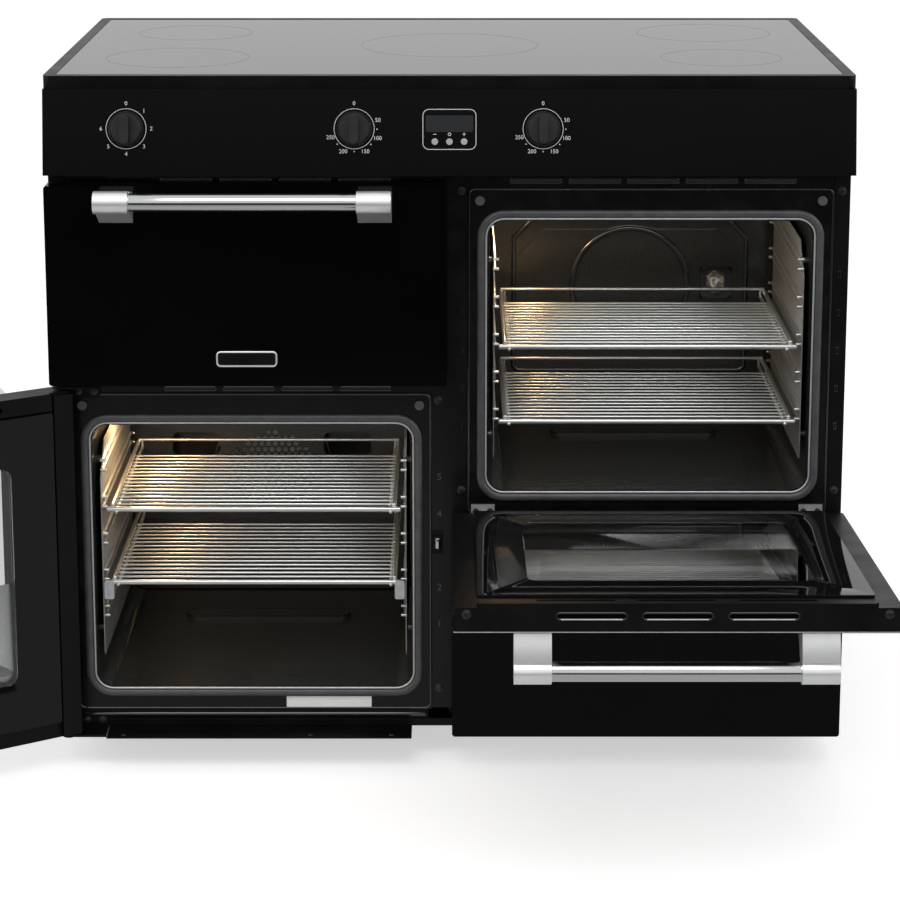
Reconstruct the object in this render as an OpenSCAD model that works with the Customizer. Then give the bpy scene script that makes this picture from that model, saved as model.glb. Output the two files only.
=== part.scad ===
// Freestanding range cooker: four compartments, two ovens, a grill and a drawer.
// Millimetres. +X to the right, +Y to the back, +Z up; the origin is on the floor,
// in the middle of the footprint. Side door and right oven door are drawn open.

/* [Body] */
// Width over the side panels
body_w = 1000; // [960:5:1100]
// Depth from the door faces to the back panel
body_d = 600; // [580:5:640]
// Height of the levelling feet under the base
foot_h = 45; // [30:1:80]
// Thickness of the casing sheet
sheet = 1.5; // [1:0.1:2]
// Width of the folded front edge of a side panel
flange_w = 19.4; // [15:0.2:24]
// Distance from the door faces to the front of the chassis
chassis_y = 42; // [41:0.5:50]

/* [Fronts] */
// Height of an oven door
oven_door_h = 455; // [440:1:480]
// Height of the grill door and of the drawer front
small_door_h = 254; // [230:1:280]
// Gap between two fronts, one above the other
row_gap = 10; // [10:0.5:14]
// Gap between the left and the right fronts
column_gap = 6.4; // [4:0.2:12]
// Height of the lowest front edge above the base
front_lift = 2; // [2:0.5:6]
// Thickness of a closed door, glass included
door_t = 37; // [36:0.5:39]
// Depth of the outer panel's folded edge
pan_d = 22; // [18:0.5:24]
// Corner radius of a front
front_r = 4; // [2:0.5:8]
// Thickness of the inner glass
glass_t = 4; // [3:0.5:4]
// Margin of the inner glass at the door's sides
glass_side = 27.5; // [24:0.5:34]
// Margin of the inner glass at the top and bottom
glass_end = 23; // [21:0.5:28]
// Height of the inner glass over the side trims
glass_proud = 8; // [6:0.5:9]
// Width of the dark border at the sides of the window
border_side = 58; // [50:1:90]
// Width of the dark border over and under the window
border_end = 62.5; // [54:0.5:90]
// Radius of the window's corners
window_r = 14; // [6:1:30]

/* [Door hinges] */
// Opening angle of the left oven door
left_open = 149; // [0:1:150]
// Opening angle of the right oven door
right_open = 85.5; // [0:0.5:90]
// Depth of a drop-down door's pivot behind its face
pivot_y = 12; // [11:0.5:14]
// Height of a drop-down door's pivot over its lower edge
pivot_z = 12; // [11:0.5:13]
// Depth of the grill door's pivot behind its face
grill_pivot_y = 8; // [7.5:0.5:9]
// Height of the grill door's pivot over its lower edge
grill_pivot_z = 12; // [11:0.5:14]
// Distance of the side hinge's axis from the body's side
side_pivot_x = 10; // [9:0.5:12]
// Depth of the side hinge's axis behind the door face
side_pivot_y = 18; // [16:0.5:19]
// Distance of a drop hinge from the side of its door
hinge_side = 39.4; // [36:0.2:46]
// Diameter of a drop hinge's pin
hinge_pin_d = 5; // [4:0.5:5]
// Diameter of a side hinge's pin
side_pin_d = 8; // [6:0.5:9]
// Radial running clearance on a pin or shaft
running = 0.05; // [0.02:0.01:0.09]

/* [Handles] */
// Length over the two end brackets
handle_l = 361; // [300:1:420]
// Diameter of the bar
bar_d = 22; // [18:0.5:26]
// Distance of the bar's axis from the door face
bar_off = 47; // [40:0.5:52]
// Distance of the bar's axis below the door's top edge
bar_drop = 11.5; // [10:0.5:24]
// Width of an end bracket
end_w = 42; // [30:1:60]
// Height of an end bracket's foot on the door
end_h = 39; // [34:1:50]
// Distance of the foot's top below the door's top edge
foot_drop = 7; // [5:0.5:16]
// Wall of an end bracket round the bar
end_wall = 3; // [1:0.5:4]
// Depth of the bar's seat in a bracket
bar_seat = 20; // [10:1:26]

/* [Ovens] */
// Distance of an oven cavity from the side of its door
cavity_side = 45.4; // [42:0.2:52]
// Distance of an oven cavity below the door's top edge
cavity_top = 52; // [44:1:70]
// Depth from the front plate to the visible back wall
cavity_d = 372; // [350:1:400]
// Radius of the cavity's corners
cavity_r = 20; // [12:1:28]
// Height of the oven floor over the door's lower edge
oven_up = 53; // [50:1:60]
// Distance of the grill compartment below its door's top edge
grill_top = 34; // [28:1:60]
// Height of the grill's floor over its door's lower edge
grill_up = 30; // [26:1:34]
// Depth of the grill compartment
grill_d = 360; // [320:1:400]
// Width of the door seal
seal_w = 13.5; // [10:0.5:15]
// Height of the door seal in front of the plate
seal_h = 4.6; // [3:0.1:4.7]
// Width of the front plate beside the cavity
plate_side = 26; // [22:0.5:27]
// Height of the front plate over the cavity
plate_top = 42; // [36:1:46]
// Height of the front plate under the cavity
plate_low = 32; // [28:1:34]

/* [Fan] */
// Depth of the fan chamber behind its cover
fan_space = 43; // [36:1:56]
// Diameter of the perforated zone
grille_d = 124; // [100:1:150]
// Diameter of one hole of the grille
grille_hole_d = 7; // [4:0.5:8]
// Distance between neighbouring holes
grille_pitch = 9.6; // [9:0.1:14]
// Height of the grille's centre over the cavity's middle
fan_up = 0; // [-20:1:20]
// Diameter of the impeller
impeller_d = 132; // [100:1:136]
// Number of impeller blades
blade_n = 14; // [8:1:20]
// Width of the impeller along its shaft
impeller_t = 24; // [16:1:26]
// Diameter of the motor shaft
shaft_d = 6; // [5:0.5:8]

/* [Shelves] */
// Number of shelf levels
level_n = 5; // [3:1:5]
// Height of the lowest level over the oven floor
level_low = 92.5; // [80:0.5:110]
// Distance between two levels
level_pitch = 49; // [44:1:52]
// Distance between the two wires of a level
pair_gap = 12.6; // [12:0.1:14]
// Diameter of a ladder wire
ladder_d = 4; // [3:0.5:5]
// Distance from the cavity wall to the ladder's wires
ladder_off = 19; // [17:0.5:24]
// Length of the ladder wires
ladder_l = 300; // [280:1:320]
// Distance of the ladder's front from the front plate
ladder_y = 28; // [24:1:34]
// Thickness of the liner plate
liner_t = 1; // [0.8:0.1:1.5]
// Distance from the cavity wall to the liner plate
liner_off = 6; // [5:0.5:8]
// Height of the liner's lower edge over the floor
liner_up = 35; // [20:1:50]
// Diameter of a rack's side and front rod
rack_rod_d = 6; // [5:0.5:6.5]
// Diameter of a rack's thin wire
rack_wire_d = 3.6; // [3:0.2:4.4]
// Depth of a rack
rack_l = 299; // [280:1:310]
// Number of thin wires on a rack
rack_wire_n = 15; // [9:1:16]
// Distance between two thin wires
rack_pitch = 15.6; // [12:0.2:17]

/* [Control panel] */
// Height of the strip between the fronts and the control panel
strip_h = 13; // [8:0.5:20]
// Height of the control panel
fascia_h = 105; // [95:1:125]
// Setback of the panel's top edge
fascia_back = 16.6; // [0:0.2:24]
// Thickness of the panel
fascia_t = 2; // [1.5:0.5:3]
// Height of the dials' centres up the panel
dial_up = 57.7; // [50:0.5:62]
// Distance of the left dial from the panel's left end
dial_left_off = 103; // [70:1:170]
// Place of the middle dial from the middle
dial_mid_x = -117; // [-200:1:-80]
// Place of the right dial from the middle
dial_right_x = 115; // [80:1:300]
// Diameter of a dial's skirt
dial_d = 43; // [36:0.5:46]
// Depth of a dial
dial_h = 24; // [18:0.5:32]
// Width of the timer's face
timer_w = 66; // [60:1:80]
// Diameter of a timer button
button_d = 8; // [6:0.5:10]
// Travel of a timer button
button_travel = 1.5; // [1:0.1:2]

/* [Hob] */
// Height of the hob's frame
hob_h = 16; // [14:0.5:24]
// Width of the frame's rim
rim_w = 14; // [10:0.5:24]
// Thickness of the hob glass
hob_glass_t = 6; // [4:0.5:8]
// Radius of the hob's corners
hob_r = 8; // [4:0.5:16]

/* [Drawer] */
// Distance of the drawer's inside from the side of its front
drawer_side = 60.4; // [58:0.2:80]
// Height of the drawer's walls
drawer_wall_h = 150; // [100:1:180]
// Length of the drawer box
drawer_l = 430; // [380:1:460]
// Height of the drawer's floor over the front's lower edge
drawer_up = 30; // [24:1:40]

/* [Hidden] */
$fn = 48;
fine = 96;
small = 24;
eps = 0.01;
gap = 0.3;

front_y = -body_d / 2;
back_y = body_d / 2;
face_y = front_y + chassis_y;
base_z = foot_h;
low_z = base_z + front_lift;
upper_z = low_z + oven_door_h + row_gap;
right_z = low_z + small_door_h + row_gap;
top_z = upper_z + small_door_h;
fascia_z = top_z + strip_h;
deck_z = fascia_z + fascia_h;
inner_w = body_w - 2 * sheet;
front_w = (body_w - column_gap) / 2;
column_x = (column_gap + front_w) / 2;
tilt = atan(fascia_back / fascia_h);

trim_y = door_t - glass_proud;
glass_y = door_t - glass_t;
glass_w = front_w - 2 * glass_side;
glass_h = oven_door_h - 2 * glass_end;
window_w = glass_w - 2 * border_side;
window_h = glass_h - 2 * border_end;
hinge_x = front_w / 2 - hinge_side;
side_axis_x = -body_w / 2 + side_pivot_x;
side_axis_y = front_y + side_pivot_y;

cavity_y = face_y + sheet;
cavity_w = front_w - 2 * cavity_side;
cavity_h = oven_door_h - oven_up - cavity_top;
grill_h = small_door_h - grill_up - grill_top;
plate_w = cavity_w + 2 * plate_side;
oven_back_y = cavity_y + cavity_d + fan_space;
drawer_w = front_w - 2 * drawer_side;
left_floor = low_z + oven_up;
right_floor = right_z + oven_up;
grill_floor = upper_z + grill_up;
frame_edge = 6;
stile_x = cavity_w / 2 + frame_edge;

ladder_x = cavity_w / 2 - ladder_off;
liner_x = cavity_w / 2 - liner_off - liner_t;
rack_x = ladder_x - 3;
rack_front = face_y + ladder_y - 10;
rack_drop = sqrt(pow(rack_rod_d / 2 + ladder_d / 2 + gap, 2) - pow(ladder_x - rack_x, 2));

fan_z = left_floor + cavity_h / 2 + fan_up;
cover_y = cavity_y + cavity_d;
ear_t = 2.5;
arm_t = 8;
pocket_w = 2 * (arm_t / 2 + 0.4 + ear_t);
runner_z = low_z + drawer_up + 55;

// ---- shared shapes -------------------------------------------------------

// Rectangle with round corners, centred
module round_rect(w, h, r) {
    square([w - 2 * r, h], center = true);
    square([w, h - 2 * r], center = true);
    for (x = [-1, 1], y = [-1, 1])
        translate([x * (w / 2 - r), y * (h / 2 - r)]) circle(r);
}

// Flat outline stood up in the X-Z plane, from y = 0 back to y = t
module slab(t) {
    translate([0, t, 0]) rotate([90, 0, 0]) linear_extrude(t) children();
}

// Sheet ring in the X-Z plane: an outline w by h with a wall of t
module ring(w, h, r, wall, t) {
    slab(t) difference() {
        round_rect(w, h, r);
        round_rect(w - 2 * wall, h - 2 * wall, max(r - wall, 0.5));
    }
}

// Profile swept round a rectangle with round corners; its y points forward
module sweep_frame(w, h, r) {
    rotate([90, 0, 0])
    for (i = [0 : 3]) {
        half = i % 2 == 0 ? w / 2 : h / 2;
        run = (i % 2 == 0 ? h : w) - 2 * r;
        rotate([0, 0, 90 * i]) {
            translate([half, run / 2, 0])
                rotate([90, 0, 0]) linear_extrude(run) children();
            translate([half - r, run / 2, 0])
                rotate_extrude(angle = 90) translate([r, 0]) children();
        }
    }
}

module box(x0, x1, y0, y1, z0, z1) {
    translate([x0, y0, z0]) cube([x1 - x0, y1 - y0, z1 - z0]);
}

module rod_x(x0, x1, y, z, d) {
    translate([x0, y, z]) rotate([0, 90, 0]) cylinder(h = x1 - x0, d = d);
}

module rod_y(x, y0, y1, z, d) {
    translate([x, y0, z]) rotate([-90, 0, 0]) cylinder(h = y1 - y0, d = d);
}

module rod_z(x, y, z0, z1, d) {
    translate([x, y, z0]) cylinder(h = z1 - z0, d = d);
}

module both_sides() {
    children();
    mirror([1, 0, 0]) children();
}

// ---- casing --------------------------------------------------------------

foot_x = body_w / 2 - 55;
foot_front_y = face_y + 102;
foot_back_y = back_y - 50;
stem_d = 10;
nut_d = 19;
nut_h = 8;
tray_lip = 25;
tray_front = 8;

module at_feet() {
    for (x = [-foot_x, foot_x], y = [foot_front_y, foot_back_y])
        translate([x, y, 0]) children();
}

module base_tray() {
    color("#141416") difference() {
        box(-inner_w / 2, inner_w / 2, face_y, back_y - sheet, base_z, base_z + tray_lip);
        box(-inner_w / 2 + sheet, inner_w / 2 - sheet, face_y + 2 * sheet,
            back_y - 2 * sheet, base_z + sheet, base_z + tray_lip + 1);
        box(-inner_w / 2 - 1, inner_w / 2 + 1, face_y - 1, face_y + 2 * sheet,
            low_z + tray_front, base_z + tray_lip + 1);
        at_feet() translate([0, 0, base_z - 1]) cylinder(h = sheet + 2, d = stem_d + 0.6);
    }
}

// One side: the sheet with its front edge and its top edge folded in
module side_panel() {
    box(body_w / 2 - sheet, body_w / 2, face_y, back_y, base_z, deck_z);
    box(body_w / 2 - flange_w, body_w / 2 - sheet, face_y, face_y + sheet,
        low_z + tray_front, deck_z);
    box(body_w / 2 - flange_w, body_w / 2 - sheet, face_y + sheet, back_y - sheet,
        deck_z - sheet, deck_z);
}

module left_side_panel() {
    color("#101012") mirror([1, 0, 0]) side_panel();
}

module right_side_panel() {
    color("#101012") side_panel();
}

inlet_x = body_w / 2 - 160;
inlet_z = base_z + 95;
gland_d = 28;
bracket_x = 50;
bracket_z = deck_z - 70;
bracket_hole_d = 5.5;
louvre_n = 9;

module back_panel() {
    color("#8d9094") difference() {
        union() {
            box(-inner_w / 2, inner_w / 2, back_y - sheet, back_y, base_z, deck_z - sheet);
            box(-bracket_x - 25, bracket_x + 25, back_y - sheet - 3, back_y - sheet,
                bracket_z - 18, bracket_z + 18);
        }
        rod_y(inlet_x, back_y - sheet - 1, back_y + 1, inlet_z, gland_d + 0.6);
        for (x = [-bracket_x, bracket_x])
            rod_y(x, back_y - sheet - 4, back_y + 1, bracket_z, bracket_hole_d);
        for (c = [-column_x, column_x], i = [0 : louvre_n - 1])
            translate([c, back_y - sheet - 1, deck_z - 150 - 14 * i])
                slab(sheet + 2) round_rect(180, 6, 2.9);
    }
}

module centre_partition() {
    y0 = cavity_y + mid_stile_d;
    y1 = back_y - 2 * sheet;
    z1 = bracket_z - 30;
    color("#8d9094") {
        box(-sheet / 2, sheet / 2, y0, y1, base_z + sheet, z1);
        box(sheet / 2, 14, y0, y1, base_z + sheet, base_z + 2 * sheet);
        box(sheet / 2, 14, y0, y1, z1 - sheet, z1);
    }
}

// Upright of the chassis, a channel open to the back
module stile(x0, x1, depth) {
    translate([0, 0, base_z + tray_lip])
    linear_extrude(fascia_z - base_z - tray_lip) difference() {
        translate([x0, cavity_y]) square([x1 - x0, depth]);
        translate([x0 + sheet, cavity_y + sheet]) square([x1 - x0 - 2 * sheet, depth]);
    }
}

// Cross rail of the chassis between two uprights
module rail(c, z0, z1) {
    box(c - stile_x, c + stile_x, cavity_y, cavity_y + sheet, z0, z1);
    box(c - stile_x, c + stile_x, cavity_y + sheet, cavity_y + 12, z0, z0 + sheet);
}

side_stile_d = 20;
mid_stile_d = 43.5;

module front_frame() {
    color("#17171a") {
        both_sides() stile(column_x + stile_x, inner_w / 2, side_stile_d);
        stile(-column_x + stile_x, column_x - stile_x, mid_stile_d);
        box(-column_x + plate_w / 2, column_x - plate_w / 2, face_y, cavity_y,
            base_z + tray_lip, fascia_z);
        rail(-column_x, low_z + tray_front, left_floor - frame_edge);
        rail(-column_x, left_floor + cavity_h + frame_edge, grill_floor - frame_edge);
        rail(-column_x, grill_floor + grill_h + frame_edge, fascia_z);
        rail(column_x, low_z + tray_front, low_z + drawer_up - 6);
        rail(column_x, right_z - 22, right_floor - frame_edge);
        rail(column_x, right_floor + cavity_h + frame_edge, fascia_z);
    }
}

module levelling_feet() {
    color("#2a2a2c") at_feet() {
        cylinder(h = 6, d = 46, $fn = fine);
        translate([0, 0, 6]) cylinder(h = 9, d1 = 44, d2 = 22, $fn = fine);
        translate([0, 0, 15]) cylinder(h = foot_h - 15 + 18, d = stem_d);
        translate([0, 0, foot_h - nut_h]) cylinder(h = nut_h, d = nut_d, $fn = 6);
    }
}

module terminal_box() {
    box_w = 96;
    box_h = 84;
    box_d = 40;
    y0 = back_y - sheet - box_d;
    color("#202022") difference() {
        union() {
            box(inlet_x - box_w / 2, inlet_x + box_w / 2, y0, back_y - sheet,
                inlet_z - 26, inlet_z - 26 + box_h);
            rod_y(inlet_x, back_y - sheet - eps, back_y, inlet_z, gland_d);
        }
        rod_y(inlet_x, back_y - 26, back_y + 1, inlet_z, 18);
    }
}

module lower_trim() {
    z0 = low_z + tray_front + 1;
    half = cavity_w / 2 + 21;
    color("#121214") {
        box(-column_x - half, -column_x + half, face_y, cavity_y, z0, left_floor - plate_low - 1);
        box(side_axis_x + leaf_l + 1, -column_x + cavity_w / 2, front_y + 2, face_y + 20,
            base_z - sheet, base_z);
    }
}

// ---- ovens and grill -----------------------------------------------------

module oven_front(c, floor_z) {
    h = cavity_h + plate_top + plate_low;
    translate([c, face_y, floor_z]) slab(sheet) difference() {
        translate([0, h / 2 - plate_low]) round_rect(plate_w, h, 3);
        translate([0, cavity_h / 2]) round_rect(cavity_w, cavity_h, cavity_r);
    }
}

module left_oven_front() {
    color("#161618") oven_front(-column_x, left_floor);
}

module right_oven_front() {
    color("#161618") oven_front(column_x, right_floor);
}

// Lined box open at the front, its collar lying on the back of the front plate
module cavity(h, d, collar) {
    ring(cavity_w + 2 * sheet, h + 2 * sheet, cavity_r + sheet, sheet, d + sheet);
    ring(cavity_w + 2 * collar, h + 2 * collar, cavity_r + collar, collar, sheet);
    translate([0, d, 0]) slab(sheet) round_rect(cavity_w + sheet, h + sheet, cavity_r);
}

pad_w = cavity_w - 179;
pad_l = 36;
pad_h = 4;

// Pressed rib across the oven floor, in front of the back wall
module floor_pad() {
    translate([0, cavity_d - 108, -eps]) linear_extrude(pad_h + eps) round_rect(pad_w, pad_l, 14);
}

panel_w = cavity_w - 76;
panel_h = 205;
panel_cut = 45;
panel_up = 58;
ring_up = 184;
ring_r = 84;

// Raised field of the plain back wall, with its two upper corners cut off
module back_field(grow) {
    w = panel_w / 2 + grow;
    h = panel_h + 2 * grow;
    polygon([
        [-w, 0], [w, 0], [w, h - panel_cut], [w - panel_cut, h],
        [panel_cut - w, h], [-w, h - panel_cut]
    ]);
}

lamp_x = 121;
lamp_up = 187;
lamp_size = 44;

module left_oven_cavity() {
    color("#35332f") translate([-column_x, cavity_y, left_floor]) difference() {
        union() {
            translate([0, 0, cavity_h / 2]) cavity(cavity_h, cavity_d + fan_space, frame_edge);
            floor_pad();
        }
        translate([0, fan_space, 0])
            rod_y(0, cavity_d - 1, cavity_d + 2 * sheet, cavity_h / 2 + fan_up, 22);
    }
}

module right_oven_cavity() {
    color("#35332f") translate([column_x, cavity_y, right_floor]) difference() {
        union() {
            translate([0, 0, cavity_h / 2]) cavity(cavity_h, cavity_d, frame_edge);
            floor_pad();
            translate([0, cavity_d - 3, panel_up]) slab(3 + eps) difference() {
                back_field(0);
                translate([0, 9]) scale(0.945) back_field(-4);
            }
            translate([0, cavity_d - 3, ring_up]) slab(3 + eps) difference() {
                circle(ring_r, $fn = fine);
                circle(ring_r - 7, $fn = fine);
            }
        }
        translate([lamp_x, cavity_d - 1, lamp_up]) slab(sheet + 2)
            square([lamp_size + 0.6, lamp_size + 0.6], center = true);
    }
}

module grill_cavity() {
    color("#35332f") translate([-column_x, cavity_y, grill_floor]) {
        translate([0, 0, grill_h / 2]) cavity(grill_h, grill_d, frame_edge);
        both_sides() for (z = [40, 80, 120])
            box(cavity_w / 2 - 6, cavity_w / 2 + eps, 20, grill_d - 30, z, z + 3);
    }
}

element_d = 6.5;
grill_turn = 22;
grill_run = grill_d - 150;

// Meander of the grill element: parallel runs joined by half turns
module grill_element() {
    n = 7;
    y1 = grill_d;
    for (i = [0 : n - 1]) {
        x = (i - (n - 1) / 2) * 2 * grill_turn;
        back = i == 0 || i == n - 1 ? y1 : y1 - 60;
        rod_y(x, y1 - 60 - grill_run, back, 0, element_d);
    }
    for (i = [0 : n - 2]) {
        x = (i - (n - 2) / 2) * 2 * grill_turn;
        front = i % 2 == 0;
        translate([x, front ? y1 - 60 - grill_run : y1 - 60, 0])
            rotate([0, 0, front ? 180 : 0])
            rotate_extrude(angle = 180) translate([grill_turn, 0]) circle(d = element_d);
    }
}

fan_ring_r = 84;
base_w = cavity_w - 106;
base_l = cavity_d - 132;

module heating_elements() {
    color("#5b5650") {
        translate([-column_x, cavity_y, grill_floor + grill_h - 22]) grill_element();
        translate([-column_x, oven_back_y - fan_space / 2, fan_z]) {
            rotate([90, 0, 0])
                rotate_extrude($fn = fine) translate([fan_ring_r, 0]) circle(d = element_d);
            for (a = [-12, 12]) rotate([0, a, 0])
                rod_y(0, 0, fan_space / 2, -fan_ring_r, element_d - 1.5);
        }
        translate([column_x, cavity_y + cavity_d / 2, right_floor - sheet - element_d])
            linear_extrude(element_d) difference() {
                round_rect(base_w, base_l, 30);
                round_rect(base_w - 2 * element_d, base_l - 2 * element_d, 24);
            }
    }
}

module seal_profile() {
    half = seal_w / 2;
    lip = seal_h * 0.55;
    translate([-half, 0]) square([seal_w, lip]);
    translate([0, lip]) intersection() {
        scale([1, (seal_h - lip) / half]) circle(half, $fn = small);
        translate([-half, 0]) square([seal_w, half]);
    }
}

module seal() {
    sweep_frame(cavity_w + seal_w + 0.6, cavity_h + seal_w + 0.6, cavity_r + seal_w / 2)
        seal_profile();
}

module left_oven_seal() {
    color("#8a8a8a") translate([-column_x, face_y, left_floor + cavity_h / 2]) seal();
}

module right_oven_seal() {
    color("#8a8a8a") translate([column_x, face_y, right_floor + cavity_h / 2]) seal();
}

// Height of a shelf level over the oven floor, lowest level first
function level_z(i) = level_low + i * level_pitch;

stud_d = 9;

// One side of an oven: liner plate and a pair of bent wires for each level
module ladder() {
    top = level_z(level_n - 1) + pair_gap / 2 + 20;
    y0 = ladder_y;
    y1 = ladder_y + ladder_l;
    mid = [(y0 + y1) / 2 - 4, (liner_up + top) / 2];
    translate([liner_x, 0, 0]) rotate([90, 0, 90]) linear_extrude(liner_t)
        translate(mid) round_rect(ladder_l + 12, top - liner_up, 5);
    for (i = [0 : level_n - 1], s = [-1, 1]) {
        z = level_z(i) + s * pair_gap / 2;
        rod_y(ladder_x, y0 - ladder_d / 2, y1 + ladder_d / 2, z, ladder_d);
        for (y = [y0, y1])
            rod_x(ladder_x, liner_x + liner_t / 2, y, z, ladder_d - 0.4);
    }
    for (y = [y0 + 40, y1 - 40], z = [liner_up + 20, top - 30])
        rod_x(liner_x + liner_t - eps, cavity_w / 2, y, z, stud_d);
}

module left_shelf_ladders() {
    color("#8f8b84") translate([-column_x, face_y, left_floor]) both_sides() ladder();
}

module right_shelf_ladders() {
    color("#8f8b84") translate([column_x, face_y, right_floor]) both_sides() ladder();
}

// Stop hooked over one end of a rack's front bar
module rack_clip(bar_rod_d) {
    difference() {
        box(rack_x, rack_x + 13, -4.5, 2, -27, -2);
        rod_x(rack_x - 1, rack_x + 9 + gap, 0, -5, bar_rod_d + 2 * gap);
        rod_y(rack_x, -5, 3, 0, rack_rod_d + 2 * gap);
    }
}

// Wire shelf seen from its front: y = 0 is the front bar, z = 0 the side rods' axis
module rack(clips) {
    bar_rod_d = rack_rod_d + 0.8;
    rear_rod_d = rack_wire_d + 1;
    under_rod_d = rack_rod_d - 1;
    back = rack_l - bar_rod_d / 2 - rear_rod_d / 2;
    wire_z = 0.9 - (rack_rod_d + rack_wire_d) / 2;
    under_z = wire_z + 0.8 - (rack_wire_d + under_rod_d) / 2;
    under_x = rack_x - 5;
    both_sides() {
        rod_y(rack_x, 0, back, 0, rack_rod_d);
        rod_y(under_x, -5, back, under_z, under_rod_d);
        rod_z(under_x, back, under_z, 3, rack_wire_d);
        if (clips)
            rack_clip(bar_rod_d);
    }
    rod_x(-rack_x - 9, rack_x + 9, 0, -5, bar_rod_d);
    rod_x(-rack_x - 1, rack_x + 1, back, 3, rear_rod_d);
    for (i = [0 : rack_wire_n - 1])
        rod_x(0.5 - rack_x, rack_x - 0.5, 18 + i * rack_pitch, wire_z, rack_wire_d);
}

module place_rack(c, floor_z, level, clips) {
    translate([c, rack_front, floor_z + level_z(level - 1) - pair_gap / 2 + rack_drop])
        rack(clips);
}

module left_upper_rack() {
    color("#c9c9c7") place_rack(-column_x, left_floor, 4, false);
}

module left_lower_rack() {
    color("#c9c9c7") place_rack(-column_x, left_floor, 2, true);
}

module right_upper_rack() {
    color("#c9c9c7") place_rack(column_x, right_floor, 3, false);
}

module right_lower_rack() {
    color("#c9c9c7") place_rack(column_x, right_floor, 1, false);
}

slot_w = 67;
slot_h = 33;
slot_x = 107;
slot_up = 42;

// Baffle in front of the fan: a pan with a honeycomb of holes and two air slots
module fan_cover() {
    rows = ceil(grille_d / grille_pitch);
    w = cavity_w - 4;
    h = cavity_h - 4;
    color("#2b2a27") translate([-column_x, cover_y, left_floor + cavity_h / 2]) {
        slab(sheet) difference() {
            round_rect(w, h, cavity_r - 2);
            for (i = [-rows : rows], j = [-rows : rows]) {
                x = grille_pitch * (i + (j % 2 == 0 ? 0 : 0.5));
                z = grille_pitch * sin(60) * j;
                if (norm([x, z]) < (grille_d - grille_hole_d) / 2)
                    translate([x, z + fan_up]) circle(d = grille_hole_d, $fn = small);
            }
            for (s = [-1, 1])
                translate([s * slot_x, fan_up + slot_up]) round_rect(slot_w, slot_h, 9);
        }
        translate([0, sheet - eps, 0])
            ring(w, h, cavity_r - 2, sheet, fan_space - sheet + eps);
    }
}

motor_d = 84;
motor_t = 46;

module fan_motor() {
    color("#9a9da1") translate([-column_x, 0, fan_z]) {
        y1 = oven_back_y + sheet;
        rod_y(0, y1, y1 + 4, 0, 110);
        rod_y(0, y1 + 4 - eps, y1 + motor_t, 0, motor_d);
        rod_y(0, oven_back_y - fan_space + 8, y1 + eps, 0, shaft_d);
    }
}

// Radial fan wheel: back disc, curved blades and a hub with its shaft bore
module fan_impeller() {
    y0 = oven_back_y - fan_space + 10;
    hub_d = 20;
    color("#b4b6b8") translate([-column_x, y0, fan_z]) difference() {
        union() {
            translate([0, impeller_t - sheet, 0]) slab(sheet) circle(d = impeller_d, $fn = fine);
            slab(impeller_t) circle(d = hub_d);
            for (i = [0 : blade_n - 1]) rotate([0, i * 360 / blade_n, 0])
                translate([impeller_d / 2 - 13, 4, 0]) rotate([0, 28, 0])
                slab(impeller_t - 4 - sheet / 2) square([24, 1.4], center = true);
        }
        rod_y(0, -1, impeller_t + 1, 0, shaft_d + 2 * running);
    }
}

module oven_lamps() {
    size = lamp_size;
    color("#e8e0cf") {
        translate([column_x + lamp_x, cover_y - 5, right_floor + lamp_up]) {
            slab(5 + sheet) square([size, size], center = true);
            translate([0, 5 + sheet - eps, 0]) slab(22) circle(d = 34);
        }
        translate([-column_x - cavity_w / 2 + 50, cavity_y + 120, left_floor + cavity_h - 8])
            cylinder(h = 8, d = 50);
    }
}

buffer_x = cavity_w / 2 + 10.5;
buffer_drop = 26;

module buffer(x, z) {
    rod_y(x, face_y - 3, face_y, z, 12);
}

module door_buffers() {
    color("#55565a") {
        for (s = [-1, 1]) {
            buffer(-column_x + s * buffer_x, low_z + oven_door_h - buffer_drop);
            buffer(column_x + s * buffer_x, right_z + oven_door_h - buffer_drop);
        }
    }
}

// Sprung roller that holds the left door shut
module door_catch() {
    x = -column_gap / 2 - 11.8;
    z = low_z + oven_door_h / 2 + 20;
    color("#b9bbbd") {
        box(x - 7, x + 7, face_y - 1.2, face_y, z - 16, z + 16);
        box(x - 5, x + 5, face_y - 4.2, face_y - 1.2, z - 9, z + 9);
    }
}

// ---- hob and controls ----------------------------------------------------

hob_y = front_y + fascia_back + 4;

module hob_frame() {
    d = back_y - hob_y;
    color("#1b1b1d") translate([0, (hob_y + back_y) / 2, deck_z]) difference() {
        linear_extrude(hob_h) round_rect(body_w, d, hob_r);
        translate([0, 0, hob_h - hob_glass_t]) linear_extrude(hob_glass_t + 1)
            round_rect(body_w - 2 * rim_w, d - 2 * rim_w, hob_r - 3);
        translate([0, 0, -1]) linear_extrude(hob_h)
            round_rect(body_w - 2 * rim_w - 30, d - 2 * rim_w - 30, hob_r - 3);
    }
}

module hob_glass() {
    d = back_y - hob_y;
    color("#0c0c0d") translate([0, (hob_y + back_y) / 2, deck_z + hob_h - hob_glass_t])
        linear_extrude(hob_glass_t - 0.5)
        round_rect(body_w - 2 * rim_w - 1, d - 2 * rim_w - 1, hob_r - 3.5);
}

zone_x = body_w / 2 - 150;
zone_front_y = hob_y + 167;
zone_back_y = back_y - 162;
heater_h = 28;
zones = [
    [-zone_x, zone_front_y, 92], [-zone_x, zone_back_y, 78],
    [0, (hob_y + back_y) / 2, 118],
    [zone_x, zone_back_y, 92], [zone_x, zone_front_y, 78]
];

module hob_heaters() {
    color("#a9a49a") for (z = zones)
        translate([z[0], z[1], deck_z + hob_h - hob_glass_t - heater_h])
            cylinder(h = heater_h, r = z[2], $fn = fine);
}

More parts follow.
